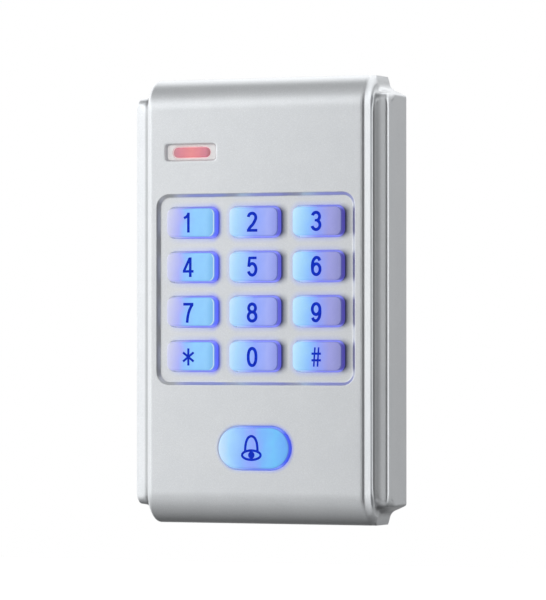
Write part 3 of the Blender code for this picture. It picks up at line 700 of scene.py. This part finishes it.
def frosted_window():
    """Clear plastic with a matt back and a painted glow that stands in for the lit bar shining into
    it, pink nearest the bar.
    """
    clear = Finish("frosted_window", rough=0.22, Specular_IOR_Level=0.5, Coat_Weight=0.4,
                   Coat_Roughness=0.06)
    cloud = clear.noise(2.0, 2.0)
    clear.tones("Base Color", cloud, linear((226, 225, 226)), linear((234, 234, 235)))
    away = clear.node("VectorMath", operation="LENGTH", Vector=clear.place)
    clear.tones("Emission Color", clear.share(away.outputs["Value"], 0.002, 0.008),
                (1.0, 0.82, 0.81), (0.9, 0.89, 0.89), 0.0, 1.0)
    clear.vary("Emission Strength", cloud, 0.24, 0.30)
    clear.bump((clear.noise(0.4, 2.0), 0.001))
    return clear.material


def red_diffuser():
    """Red plastic lit from behind, paler in the middle."""
    red = Finish("red_diffuser", rough=0.25, Coat_Weight=0.3, Coat_Roughness=0.08)
    share = red.share(red.size_of(red.in_mm("X")), 0.0, BAR_WIDTH / 2)
    for socket, near, between, far in (
            ("Base Color", (0.0, (236, 146, 150)), (0.75, (214, 134, 152)), (190, 130, 140)),
            ("Emission Color", (0.0, (236, 124, 130)), (0.8, (208, 118, 134)), (190, 120, 126))):
        red.set(socket, red.ramp(share, [(place, linear(colour))
                                         for place, colour in (near, between, (1.0, far))]))
    red.vary("Emission Strength", red.noise(1.2, 2.0), 0.34, 0.44)
    red.bump((red.noise(0.3, 2.0), 0.001))
    return red.material


SILVER = silver_paint()
INK = legend_ink()
TIN = brushed("tinned_leads", (0.60, 0.60, 0.60), (0.78, 0.78, 0.77), 0.28, (1.0, 0.2, 1.0))


# ---------------------------------------------------------------- the casting

BELL_RING = ring_about(BELL_PLACE, BELL_WIDTH, BELL_HEIGHT, BELL_CORNER, CLEARANCE)
LAMP_RING = ring_about(LAMP_PLACE, LAMP_WIDTH, LAMP_HEIGHT, LAMP_CORNER)
KEY_RINGS = [ring_about(place, KEY_WIDTH, KEY_HEIGHT, KEY_CORNER, CLEARANCE)
             for place in KEY_PLACES.values()]
RECESS_RING = ring_about(RECESS_PLACE, RECESS_WIDTH, RECESS_HEIGHT, RECESS_CORNER)


def edge_fillet():
    """(x beyond the face, depth) of the core's long edge: a quick turn, then a slower flank."""
    points = [(0.0, 0.0)]
    x = depth = 0.0
    for start, end, radius, steps in ((0, 56, 0.85, 8), (56, 74, 5.0, 6), (74, 90, 1.2, 3)):
        for step in range(steps):
            a = radians(start + (end - start) * step / steps)
            b = radians(start + (end - start) * (step + 1) / steps)
            x += radius * (sin(b) - sin(a))
            depth += radius * (cos(a) - cos(b))
            points.append((x, depth))
    return [(px / x * (CORE_HALF - FACE_HALF), pd / depth * FILLET_DEPTH) for px, pd in points]


FILLET = edge_fillet()
BACK_NOTCH = ([(NOTCH_X, 60.0), (31.75, 58.3)] + arc((34.5, 58.75), (2.8, 2.8), 193, 255, 10)
              + [(34.6, 55.68), (35.7, 55.17), (36.1, 54.96), (36.32, 54.76), (36.45, 54.52),
                 (HALF_WIDTH, 54.25)])


def back_end(x):
    """Height of the casting's back outline at x, on its notched part."""
    return float(np.interp(x, [p[0] for p in BACK_NOTCH], [p[1] for p in BACK_NOTCH]))


def wing_section():
    """(x, depth) from the core's side wall through the hollow and over the wing to its rim."""
    rim_x, hollow_x, slope = HALF_WIDTH - RIM_RADIUS, CORE_HALF + HOLLOW_RADIUS, radians(WING_SLOPE)
    hollow_d = RIM_DEPTH + ((hollow_x - rim_x) * sin(slope) - RIM_RADIUS - HOLLOW_RADIUS) / cos(slope)
    points = arc((hollow_x, hollow_d), (HOLLOW_RADIUS, HOLLOW_RADIUS), 180, 90 + WING_SLOPE, 8)
    rim = arc((rim_x, RIM_DEPTH), (RIM_RADIUS, RIM_RADIUS), WING_SLOPE - 90, 0, 10)
    (x, d), (far_x, far_d) = points[-1], rim[0]
    for step in (0.12, 0.5, 0.88):
        points.append((x + (far_x - x) * step, d + (far_d - d) * step))
    return points + rim


ROLL_TURNS = [radians(90 * step / 18) for step in range(1, 19)]
ROLL_LEVELS = [0.0, ROLL_START - SUPPORT, ROLL_START]


def core_rows(columns):
    """Rows of (x, depth, z) up the core's front, from its middle to the end of the roll."""
    rows = [[(x, inward, level) for x, inward in columns] for level in ROLL_LEVELS]
    return rows + [[(x, ROLL_DEPTH - (ROLL_DEPTH - inward) * cos(turn),
                     ROLL_START + (ROLL_HEIGHT - inward) * sin(turn))
                    for x, inward in columns] for turn in ROLL_TURNS]


def wing_rows(section, edge_line):
    """Rows of the wing. Near the core it sinks back with the core's own rolled edge."""
    edge_top = edge_line[-1][2]
    rows = []
    for row, (_, edge_depth, edge_z) in enumerate(edge_line):
        line = []
        for x, depth in section:
            outside = max(0.0, x - (HALF_WIDTH - END_CORNER))
            end = (min(back_end(x) - 0.2, END_FRONT) - END_CORNER
                   + sqrt(END_CORNER ** 2 - outside ** 2))
            end += (edge_top - end) * exp(-(x - CORE_HALF) / WING_RISE)
            gap = edge_top - edge_z
            near = exp(-(x - CORE_HALF) / WING_SINK)
            bend = max(0.0, 1 - gap / END_ROUND)
            depth += (edge_depth - FILLET_DEPTH) * near
            depth += END_ROUND * (1 - near) * (1 - sqrt(max(0.0, 1 - bend * bend)))
            line.append((x, depth, end - gap if row else 0.0))
        rows.append(line)
    rows[-1][0] = edge_line[-1]
    return rows


def core_ends(columns, corner=10):
    """(x, z) where each column of the core meets the back outline. The fillet's first columns
    reach the notch's corner."""
    ends = []
    for step, (x, _) in enumerate(columns, -2):
        if step <= 0:
            ends.append((x, HALF_HEIGHT))
        elif step <= corner:
            ends.append((FACE_HALF + (NOTCH_X - FACE_HALF) * step / corner, HALF_HEIGHT))
        else:
            share = (step - corner) / (len(FILLET) - 1 - corner)
            across = NOTCH_X + (CORE_HALF - NOTCH_X) * share
            ends.append((across, back_end(across)))
    return ends


def case_quarter():
    """The upper right quarter of the outside, and its back outline from the top to the side."""
    columns = [(0.0, 0.0), (FACE_HALF - SUPPORT, 0.0)] + [(FACE_HALF + x, d) for x, d in FILLET]
    section = wing_section()
    core = core_rows(columns)
    edge_line = [row[-1] for row in core]
    wing = wing_rows(section, edge_line)
    ends = core_ends(columns)
    side_z = [0.0] + [back_end(HALF_WIDTH) - (edge_line[-1][2] - z) for _, _, z in edge_line[1:]]
    middle, back = ROLL_DEPTH + 1.5, -FACE_Y  # the sharp outline starts behind the rolled front
    quarter = Surface()
    quarter.grid([row[1:] for row in core[:2]])
    quarter.grid(core[1:])
    quarter.grid([core[-1], [(x, middle, z - DRAFT) for x, z in ends],
                  [(x, back, z) for x, z in ends]])
    quarter.grid([[edge, line[0]] for edge, line in zip(edge_line, wing)])
    quarter.grid(wing)
    quarter.grid([wing[-1], [(x, middle, back_end(x) - DRAFT) for x, _ in section],
                  [(x, back, back_end(x)) for x, _ in section]])
    quarter.grid([[line[-1], (HALF_WIDTH, middle, z - (DRAFT if z else 0.0)),
                   (HALF_WIDTH, back, z)] for line, z in zip(wing, side_z)])
    return quarter, (ends + [(x, back_end(x)) for x, _ in section[1:]]
                     + [(HALF_WIDTH, z) for z in reversed(side_z[:-1])])


def face_openings(shell):
    """The flat face with its openings, and the recess with the windows of the keys."""
    holes = []
    for ring, mouth in ((BELL_RING, 0.3), (LAMP_RING, 0.14)):
        path = eased([(0.6, FACE_Y), (0.0, FACE_Y), (0.0, INNER_Y)], [mouth])
        holes.append(ring(0.6))
        shell.swept(path, ring)
    recess = eased([(RECESS_BEVEL + 0.2, FACE_Y), (RECESS_BEVEL, FACE_Y), (0.0, RECESS_Y),
                    (-0.6, RECESS_Y)], [0.22, 0.30])
    holes.append(RECESS_RING(RECESS_BEVEL + 0.2))
    floor_edge = shell.swept(recess, RECESS_RING)
    border = [(a * (FACE_HALF - SUPPORT), b * (ROLL_START - SUPPORT)) for a, b in
              ((0, 1), (1, 1), (1, 0), (1, -1), (0, -1), (-1, -1), (-1, 0), (-1, 1))]
    shell.sheet(FACE_Y, [border] + holes)
    windows = []
    for ring in KEY_RINGS:
        path = eased([(0.35, RECESS_Y), (0.0, RECESS_Y), (0.0, INNER_Y)], [0.16], 4)
        windows.append(ring(0.35))
        shell.swept(path, ring)
    shell.sheet(RECESS_Y, [floor_edge] + windows)


def stepped_inside(shell, outline):
    """The cavity, one step for the board and one for the cover, out to the back rim."""
    cavities = [loop((0, 0), 2 * x, 2 * z, 2.5) for x, z in CAVITY_HALVES]
    shell.sheet(INNER_Y, [cavities[0]] + [ring(0.0) for ring in KEY_RINGS]
                + [BELL_RING(0.0), LAMP_RING(0.0)])
    levels = (INNER_Y, BOARD_LEDGE_Y, COVER_LEDGE_Y, 0.0)
    for cavity, outer, near, far in zip(cavities, cavities[1:] + [outline], levels, levels[1:]):
        shell.grid([[(x, y, z) for x, z in cavity] for y in (near, far)], closed=True)
        shell.sheet(far, [outer, cavity])


def casting():
    shell = Surface()
    quarter, top_right = case_quarter()
    for side_x in (1, -1):
        for side_z in (1, -1):
            shell.add([(side_x * x, FACE_Y + d, side_z * z) for x, d, z in quarter.points],
                      quarter.faces)
    right = top_right + [(x, -z) for x, z in reversed(top_right[:-1])]
    face_openings(shell)
    stepped_inside(shell, right + [(-x, z) for x, z in reversed(right[1:-1])])
    return shell.made("case_casting", SILVER, sharp=30)


def rod(centre, radius, low, high, axis="Y", sides=24):
    """Points and faces of a closed round bar."""
    ends = [(a, along, b) if axis == "Y" else (a, b, along)
            for along in (low, high) for a, b in round_loop(centre, radius, sides)]
    faces = [(i, (i + 1) % sides, sides + (i + 1) % sides, sides + i) for i in range(sides)]
    return ends, faces + [tuple(range(sides)), tuple(range(sides, 2 * sides))]


def bar(low, high):
    """Points and faces of a closed box."""
    points = [(x, y, z) for x in (low[0], high[0]) for y in (low[1], high[1])
              for z in (low[2], high[2])]
    return points, [(0, 1, 3, 2), (4, 6, 7, 5), (0, 4, 5, 1), (2, 3, 7, 6), (0, 2, 6, 4),
                    (1, 5, 7, 3)]


def combine(target, operation, *shapes):
    """Adds or takes away closed shapes, each (points, faces)."""
    body = Surface()
    for points, faces in shapes:
        body.add(points, faces)
    cutter = body.made("cutter", None)
    step = target.modifiers.new(operation.lower(), "BOOLEAN")
    step.operation = operation
    step.solver = "EXACT"
    step.object = cutter
    bpy.context.view_layer.update()
    graph = bpy.context.evaluated_depsgraph_get()
    result = bpy.data.meshes.new_from_object(target.evaluated_get(graph))
    target.modifiers.remove(step)
    old, name = target.data, target.data.name
    target.data = result
    bpy.data.meshes.remove(old)
    result.name = name
    bpy.data.objects.remove(cutter)


def finish_casting(case):
    """Bosses, screw holes, the locking screw's bore and the plate's hook slots."""
    combine(case, "UNION", *[rod(place, 2.7, INNER_Y - 0.5, BOARD_LEDGE_Y - 0.3)
                             for place in SCREW_PLACES])
    lock = (0.0, -5.4)  # X and Y of the locking screw
    cuts = [rod(place, 1.55, -13.9, 0.6, sides=20) for place in SCREW_PLACES]
    cuts += [rod(lock, 2.9, -61.0, -57.2, "Z", 40), rod(lock, 1.8, -57.5, -52.0, "Z", 28),
             bar((-5.5, -8.6, -53.0), (5.5, -4.0, -50.9))]
    for middle in (-16.0, 16.0):
        low, high = middle - 4.4, middle + 4.4
        cuts += [bar((low, -7.2, 50.9), (high, -4.0, 53.4)),
                 bar((low, -7.2, 53.0), (high, -4.8, 56.6))]
    for cutter in cuts:
        combine(case, "DIFFERENCE", cutter)
    case.data.shade_smooth()
    case.data.set_sharp_from_angle(angle=radians(30))


case = casting()
finish_casting(case)
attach(case, "reader")
stand_in(case, "front_case")


# ---------------------------------------------------------------- keys and legends

def cap(name, body, centre, width, height, corner, front, finish, replaced):
    """A pillowed cap with a retaining flange behind the front wall."""
    cap_ring = ring_about(centre, width, height, corner)
    shape = Surface()
    path = eased([(0.5, KEY_BACK_Y), (0.9, KEY_BACK_Y), (0.9, KEY_FLANGE_Y),
                  (0.0, KEY_FLANGE_Y), (-0.06, front), (-3.2, front)],
                 [0.12, 0.12, 0.08, KEY_EDGE], 7)
    crown = [(0.3, 0.035), (0.8, 0.018), (1.4, 0.006), (2.8, 0.0)]
    path = path[:-1] + [(-KEY_EDGE - inset, front + sink) for inset, sink in crown]
    # the rounded edge sinks with the crown's rim, so that the two stay smooth
    path = [(outset, y + 0.05 * max(0.0, 1 - abs(y - front) / KEY_EDGE)
             if outset > -KEY_EDGE - 0.2 and y < front + KEY_EDGE else y) for outset, y in path]
    shape.sheet(KEY_BACK_Y, [cap_ring(0.5)])
    last = shape.swept(path, cap_ring)
    shape.sheet(front, [last])
    piece = shape.made(name, finish, body, (centre[0], front, centre[1]), sharp=40)
    stand_in(piece, replaced)


# each column: glow stops across the top, wall colours whose darker right-hand ones are painted shade,
# and the strength of the painted shade line
COLUMN_GLOW = [
    ([(0.0, (206, 208, 230)), (0.14, (188, 192, 240)), (0.28, (168, 176, 250)),
      (0.42, (140, 190, 255)), (0.60, (138, 203, 255)), (0.85, (140, 203, 252)),
      (1.0, (128, 190, 240))], ((190, 196, 226), (146, 154, 246), (108, 124, 255)),
     [(0.2, 0.0), (0.45, 0.8), (0.85, 0.6), (0.97, 0.0)]),
    ([(0.0, (190, 225, 250)), (0.15, (165, 214, 252)), (0.35, (152, 196, 254)),
      (0.55, (140, 165, 254)), (0.80, (158, 172, 246)), (1.0, (150, 160, 236))],
     ((196, 222, 246), (150, 158, 248), (108, 110, 226)), [(0.25, 0.0), (0.6, 0.9)]),
    ([(0.0, (186, 228, 252)), (0.18, (160, 214, 253)), (0.38, (136, 190, 254)),
      (0.55, (140, 160, 250)), (0.75, (154, 156, 224)), (1.0, (146, 148, 206))],
     ((196, 222, 246), (146, 152, 244), (88, 84, 178)), [(0.25, 0.0), (0.6, 0.9)]),
]
BELL_GLOW = ([(0.0, (196, 224, 250)), (0.15, (160, 212, 253)), (0.35, (136, 184, 254)),
              (0.5, (138, 164, 253)), (0.65, (116, 182, 253)), (0.8, (112, 194, 252)),
              (1.0, (110, 176, 250))], ((200, 222, 244), (130, 156, 246), (84, 106, 236)),
             [(0.25, 0.0), (0.6, 0.9), (0.9, 0.4)])
KEY_FINISHES = [key_finish(f"milky_key_column_{number}", KEY_WIDTH, *glow, rim=number == 1)
                for number, glow in enumerate(COLUMN_GLOW, 1)]

for number, label in enumerate(KEY_LABELS):
    cap(f"keytop_{label}", f"key_{label}", KEY_PLACES[label], KEY_WIDTH, KEY_HEIGHT,
        KEY_CORNER, KEY_FRONT_Y, KEY_FINISHES[number % 3], f"key_cap_{label}")
cap("bell_keytop", "bell_key", BELL_PLACE, BELL_WIDTH, BELL_HEIGHT, BELL_CORNER, BELL_FRONT_Y,
    key_finish("milky_bell_button", BELL_WIDTH, *BELL_GLOW), "bell_button")


def smooth(*points, steps=6):
    """A Catmull-Rom curve through the points."""
    line = [points[0], *points, points[-1]]
    out = []
    for a, b, c, d in zip(line, line[1:], line[2:], line[3:]):
        for step in range(steps):
            t = step / steps
            out.append(tuple(0.5 * (2 * q + (r - p) * t + (2 * p - 5 * q + 4 * r - s) * t * t
                                    + (3 * q - p - 3 * r + s) * t ** 3)
                             for p, q, r, s in zip(a, b, c, d)))
    return out + [points[-1]]


PEN = 0.84  # width of a stroke


def ribbon(points, width=PEN, closed=False):
    """Quads along a path, with mitred joints and square ends."""
    sides = []
    count = len(points)
    for i, point in enumerate(points):
        here = Vector(point)
        one = (here - Vector(points[i - 1])).normalized() if i or closed else None
        two = ((Vector(points[(i + 1) % count]) - here).normalized()
               if i < count - 1 or closed else None)
        along = (one + two).normalized() if one and two else (one or two)
        across = Vector((-along.y, along.x))
        half = width / 2
        if one and two:
            half /= max(0.5, abs(across.dot(Vector((-one.y, one.x)))))
        sides.append((here + across * half, here - across * half))
    pairs = zip(sides, sides[1:] + (sides[:1] if closed else []))
    return [[a[0], a[1], b[1], b[0]] for a, b in pairs]


def line(x, z, far_x, far_z, width):
    return ribbon([(x, z), (far_x, far_z)], width)


def oval(cx, cy, rx, ry, start=0.0, end=360.0, steps=28, power=2.0):
    points = []
    for i in range(steps + 1):
        a = radians(start + (end - start) * i / steps)
        c, s = cos(a), sin(a)
        points.append((cx + rx * copysign(abs(c) ** (2 / power), c),
                       cy + ry * copysign(abs(s) ** (2 / power), s)))
    return points


def whole(cx, cy, rx, ry, power=2.0, width=PEN):
    """The stroke of a closed oval."""
    return ribbon(oval(cx, cy, rx, ry, 0, 360 - 360 / 40, 39, power), width, True)


def dot(cx, cy, rx, ry, steps=14):
    """Upright quads that fill an oval."""
    edge = [(cx - rx * cos(radians(a)), ry * sin(radians(a)))
            for a in np.linspace(4, 176, steps)]
    return [[(a, cy - up), (b, cy - high), (b, cy + high), (a, cy + up)]
            for (a, up), (b, high) in zip(edge, edge[1:])]


SIX = [whole(0.02, -0.84, 1.08, 1.43),
       ribbon(smooth((-1.06, -0.9), (-1.08, 0.3), (-0.84, 1.42), (-0.3, 2.12), (0.2, 2.27),
                     (0.74, 2.02), (1.04, 1.42)))]
LEGENDS = {
    "1": [line(0.0, -2.67, 0.0, 2.67, 0.76),
          ribbon(smooth((-0.02, 2.30), (-0.42, 1.72), (-1.28, 1.16)), 0.72)],
    "2": [ribbon(oval(-0.02, 1.13, 1.08, 1.14, 172, -22)
                 + smooth((0.86, 0.40), (0.25, -0.62), (-0.62, -1.52), (-1.05, -2.3))[1:]),
          line(-1.50, -2.29, 1.50, -2.29, 0.76)],
    "3": [ribbon(oval(-0.06, 1.18, 1.02, 1.09, 165, -72)), line(-0.42, 0.20, 0.30, 0.16, 0.66),
          ribbon(oval(-0.04, -1.06, 1.12, 1.21, 76, -168))],
    "4": [line(0.56, -2.67, 0.56, 2.60, 0.76), line(0.40, 2.42, -1.26, -0.98, 0.72),
          line(-1.62, -1.14, 1.52, -1.14, 0.70)],
    "5": [line(-0.98, 2.30, 1.28, 2.30, 0.72), line(-0.72, 2.50, -1.02, -0.06, 0.74),
          ribbon(oval(0.0, -0.74, 1.12, 1.53, 152, -160))],
    "6": SIX,
    "7": [line(-1.48, 2.30, 1.46, 2.30, 0.74),
          ribbon(smooth((1.20, 2.28), (0.50, 1.10), (-0.05, -0.45), (-0.38, -2.67)), 0.78)],
    "8": [whole(0.0, 1.20, 0.98, 1.07), whole(0.0, -1.06, 1.13, 1.21)],
    "9": [[[-corner for corner in quad] for quad in stroke] for stroke in SIX],
    "0": [whole(0.0, 0.0, 1.12, 2.27, 2.25)],
    "star": [line(0, -2.3, 0, 2.3, 0.62)] + [line(-1.55, -z, 1.55, z, 0.62)
                                             for z in (1.22, -1.22)],
    "hash": [line(x - 0.17, -2.55, x + 0.17, 2.55, 0.46) for x in (-0.53, 0.53)]
            + [line(-1.34, z, 1.34, z, 0.60) for z in (0.88, -0.88)],
    "bell": [ribbon(smooth((-1.78, -0.95), (-1.72, 0.35), (-1.46, 1.75), (-0.86, 2.82),
                           (0, 3.20), (0.86, 2.82), (1.46, 1.75), (1.72, 0.35),
                           (1.78, -0.95)), 0.68),
             whole(0.0, -1.85, 2.66, 1.24, width=0.66), dot(0.0, -1.85, 0.92, 0.96)],
}
COLUMN_SHIFT, ROW_SHIFT = (-0.45, -0.15, 0.0), (0.0, 0.0, -0.3, -0.2)
BELL_SHIFT = -0.37


def legend(name, body, strokes, centre, front):
    """A printed symbol: the union of its strokes as one thin layer of ink."""
    points, quads = [], []
    for stroke in strokes:
        for quad in stroke:
            quads.append(list(range(len(points), len(points) + 4)))
            points += [Vector(corner) for corner in quad]
    flat, _, triangles, _, _, origins = delaunay_2d_cdt(points, [], quads, 1, 1e-4)
    inside = [t for t, origin in zip(triangles, origins) if origin]
    used = {}
    for triangle in inside:
        for a, b in zip(triangle, list(triangle[1:]) + [triangle[0]]):
            used[(a, b)] = used.get((a, b), 0) + 1
    rim = [(a, b) for a, b in used if (b, a) not in used]
    shape = Surface()
    count = len(flat)
    levels = (front - INK_DEPTH, front + 0.10)
    everything = [(centre[0] + p.x, y, centre[1] + p.y) for y in levels for p in flat]
    faces = [list(t) for t in inside] + [[i + count for i in t] for t in inside]
    faces += [[a, b, b + count, a + count] for a, b in rim]
    shape.add(everything, faces)
    shape.made(name, INK, body, sharp=30, weld=1e-4)


for number, label in enumerate(KEY_LABELS):
    x, z = KEY_PLACES[label]
    row, column = divmod(number, 3)
    legend(f"legend_{label}", f"key_{label}", LEGENDS[label],
           (x + COLUMN_SHIFT[column], z + ROW_SHIFT[row]), KEY_FRONT_Y)
legend("legend_bell", "bell_key", LEGENDS["bell"], (BELL_PLACE[0] + BELL_SHIFT, BELL_PLACE[1]),
       BELL_FRONT_Y)


# ---------------------------------------------------------------- indicator window

def window():
    """A frosted frame with a pocket for the bar, a flange and a stem down to the lamp."""
    lens = Surface()
    ring = ring_about(LAMP_PLACE, LAMP_WIDTH - 0.6, LAMP_HEIGHT - 0.6, 0.75)
    pocket = ring_about(LAMP_PLACE, BAR_WIDTH, BAR_HEIGHT, BAR_CORNER, CLEARANCE)
    stem = ring_about(LAMP_PLACE, 10.0, 2.4, 1.0)
    front, floor = FACE_Y + 0.75, FACE_Y + 1.5
    lens.swept(eased([(0.4, KEY_BACK_Y), (0.85, KEY_BACK_Y), (0.85, KEY_FLANGE_Y),
                      (0.0, KEY_FLANGE_Y), (0.0, front), (-0.22, front)],
                     [0.1, 0.1, 0.05, 0.14], 4), ring)
    deep = lens.swept(eased([(0.12, front), (0.0, front), (0.0, floor), (-0.5, floor)],
                            [0.08, 0.0], 4), pocket)
    lens.sheet(front, [ring(-0.22), pocket(0.12)])
    lens.sheet(floor, [deep])
    lens.sheet(KEY_BACK_Y, [ring(0.4), stem(0.0)])
    lens.swept([(0.0, KEY_BACK_Y), (0.0, -12.2), (-0.1, -12.1)], stem)
    lens.sheet(-12.1, [stem(-0.1)])
    stand_in(lens.made("indicator_window", frosted_window(), "reader",
                       (LAMP_PLACE[0], front, LAMP_PLACE[1])), "indicator_lens")


def lit_bar():
    ring = ring_about(LAMP_PLACE, BAR_WIDTH, BAR_HEIGHT, BAR_CORNER)
    glow = Surface()
    top, back = FACE_Y + 0.7, FACE_Y + 1.2
    glow.sheet(back, [ring(-0.3)])
    last = glow.swept(eased([(-0.3, back), (0.0, back), (0.0, top), (-0.9, top)],
                            [0.1, 0.3], 5), ring)
    glow.sheet(top, [last])
    stand_in(glow.made("indicator_light", red_diffuser(), "reader",
                       (LAMP_PLACE[0], top, LAMP_PLACE[1])), "indicator_bar")


window()
lit_bar()


# ---------------------------------------------------------------- inside the case

def key_mat(name, node, domes, lamps):
    """A silicone web with a hole for each lamp, and a hollow dome under each key."""
    rubber = bpy.data.materials.get("milky_silicone") or grained(
        "milky_silicone", (0.60, 0.63, 0.66), (0.70, 0.72, 0.75), 2.5, 0.55)
    low, high = mm_box(node)
    rings = [loop(middle_of(node), high.x - low.x, high.z - low.z, 2.0, 4)]
    rings += [round_loop(place, 3.5) for _, place in domes]
    rings += [round_loop(middle_of(f"backlight_led_{n}"), 1.5, 20) for n in lamps]
    web = Surface()
    for y in (WEB_FRONT, WEB_BACK):
        web.sheet(y, rings)
    for ring in rings:
        web.grid([[(x, y, z) for x, z in ring] for y in (WEB_FRONT, WEB_BACK)], closed=True)
    stand_in(web.made(name, rubber, "reader"), node)
    inner = DOME_TOP + 1.1
    profile = eased([(3.5, WEB_FRONT), (4.2, WEB_FRONT), (3.0, DOME_TOP), (0.0, DOME_TOP)],
                    [0.05, 0.3], 4)
    profile += eased([(0.0, inner), (2.4, inner), (3.5, WEB_FRONT)], [0.25], 4)
    for label, place in domes:
        dome = Surface()
        dome.turned(profile, place)
        piece = dome.made(f"dome_{label}", rubber, "reader")
        stand_in(piece, node)
        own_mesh(piece)


key_mat("key_web", "keypad_mat", KEY_PLACES.items(), range(1, 7))
key_mat("bell_web", "bell_mat", [("bell", BELL_PLACE)], (7, 8))


def antenna():
    """The card-reading loop: enamelled wire wound in layers around the key mat."""
    low, high = mm_box("antenna_coil")
    centre = middle_of("antenna_coil")
    wire, bundle, turns = 0.125, 1.3, 5  # wire radius, width of the winding, turns side by side
    layers = int((high.y - low.y) / (2 * wire))
    coil = Surface()
    for layer in range(layers):
        y = low.y + wire + layer * (high.y - low.y - 2 * wire) / (layers - 1)
        for turn in range(turns):
            inset = wire + turn * (bundle - 2 * wire) / (turns - 1)
            coil.hoop([(x, y, z) for x, z in loop(centre, high.x - low.x - 2 * inset,
                                                  high.z - low.z - 2 * inset, 4.0 - inset, 5)],
                      wire)
    stand_in(coil.made("antenna_winding", enamelled_copper(), "reader"), "antenna_coil")


antenna()


SQUARE = ((-1, -1), (1, -1), (1, 1), (-1, 1))


def package_legs():
    """Gull-wing legs of the three flat packages."""
    foot = mm_box("main_board")[1].y + 0.11
    legs = Surface()
    for node, count, along, pitch in (("controller_chip", 10, "x", 0.8),
                                      ("controller_chip", 10, "z", 0.8),
                                      ("card_reader_chip", 6, "x", 1.1),
                                      ("regulator", 3, "x", 1.9)):
        low, high = mm_box(node)
        middle = middle_of(node)
        half = (high.z - low.z) / 2 if along == "x" else (high.x - low.x) / 2
        wide = 0.17 if pitch < 1.5 else 0.4
        path = eased([(half - 0.1, low.y + 0.55), (half + 0.35, low.y + 0.55),
                      (half + 0.55, foot), (half + 1.05, foot)], [0.12, 0.12], 3)
        for index in range(count):
            place = (index - (count - 1) / 2) * pitch
            for side in (1, -1):
                rows = []
                for out, y in path:
                    corners = [(place + a * wide, side * out, y + b * 0.07) for a, b in SQUARE]
                    rows.append([(middle[0] + (p if along == "x" else q), y,
                                  middle[1] + (q if along == "x" else p))
                                 for p, q, y in corners])
                legs.post(rows)
    legs.made("package_legs", TIN, "reader", sharp=40)


def header_pins():
    low, high = mm_box("cable_header")
    z = middle_of("cable_header")[1]
    pins = Surface()
    for index in range(8):
        x = (index - 3.5) * 2.3
        pins.post([[(x + size * a, y, z + size * b) for a, b in SQUARE] for y, size in
                   ((low.y + 1.05, 0.32), (high.y - 1.0, 0.32), (high.y - 0.6, 0.144))])
    pins.made("header_pins", TIN, "reader", sharp=40)


package_legs()
header_pins()


# ---------------------------------------------------------------- finishes of the CAD pieces

def repaint(finish, *names):
    for name in names:
        node = nodes[name]
        if not node.material_slots:
            node.data.materials.append(finish)
        for used in node.material_slots:
            used.material = finish


STEEL = brushed("screw_steel", (0.42, 0.43, 0.45), (0.62, 0.63, 0.64), 0.30, (1.0, 0.15, 1.0))
repaint(STEEL, "locking_screw", "crystal", *[f"cover_screw_{n}" for n in range(1, 5)])
repaint(zinc_plated(), "mounting_plate")
repaint(brushed("can_aluminium", (0.62, 0.63, 0.64), (0.76, 0.77, 0.78), 0.26, (1, 0.1, 1)),
        "capacitor")
repaint(grained("moulded_cover", (0.022, 0.022, 0.025), (0.040, 0.040, 0.043), 0.5, 0.50,
                depth=0.006), "rear_cover")
repaint(grained("package_epoxy", (0.012, 0.012, 0.013), (0.026, 0.026, 0.027), 0.35, 0.45,
                depth=0.004), "controller_chip", "card_reader_chip", "regulator",
        "buzzer")
repaint(grained("moulded_rubber", (0.014, 0.014, 0.015), (0.030, 0.030, 0.031), 0.6, 0.72,
                depth=0.006), "cable_grommet", "cover_gasket")
repaint(grained("nylon_connector", (0.68, 0.65, 0.57), (0.80, 0.78, 0.71), 1.2, 0.38,
                depth=0.003), "cable_header", "tamper_sensor")
repaint(grained("pressed_carbon", (0.010, 0.010, 0.011), (0.030, 0.030, 0.032), 0.3, 0.80,
                depth=0.008),
        "contact_pill_bell", *[f"contact_pill_{label}" for label in KEY_LABELS])
repaint(solder_mask(), "main_board")
repaint(lamp_finish("blue_lamp", (0.10, 0.30, 1.0), 1.2),
        *[f"backlight_led_{n}" for n in range(1, 9)])
repaint(lamp_finish("red_lamp", (1.0, 0.06, 0.04), 1.2), "indicator_led")
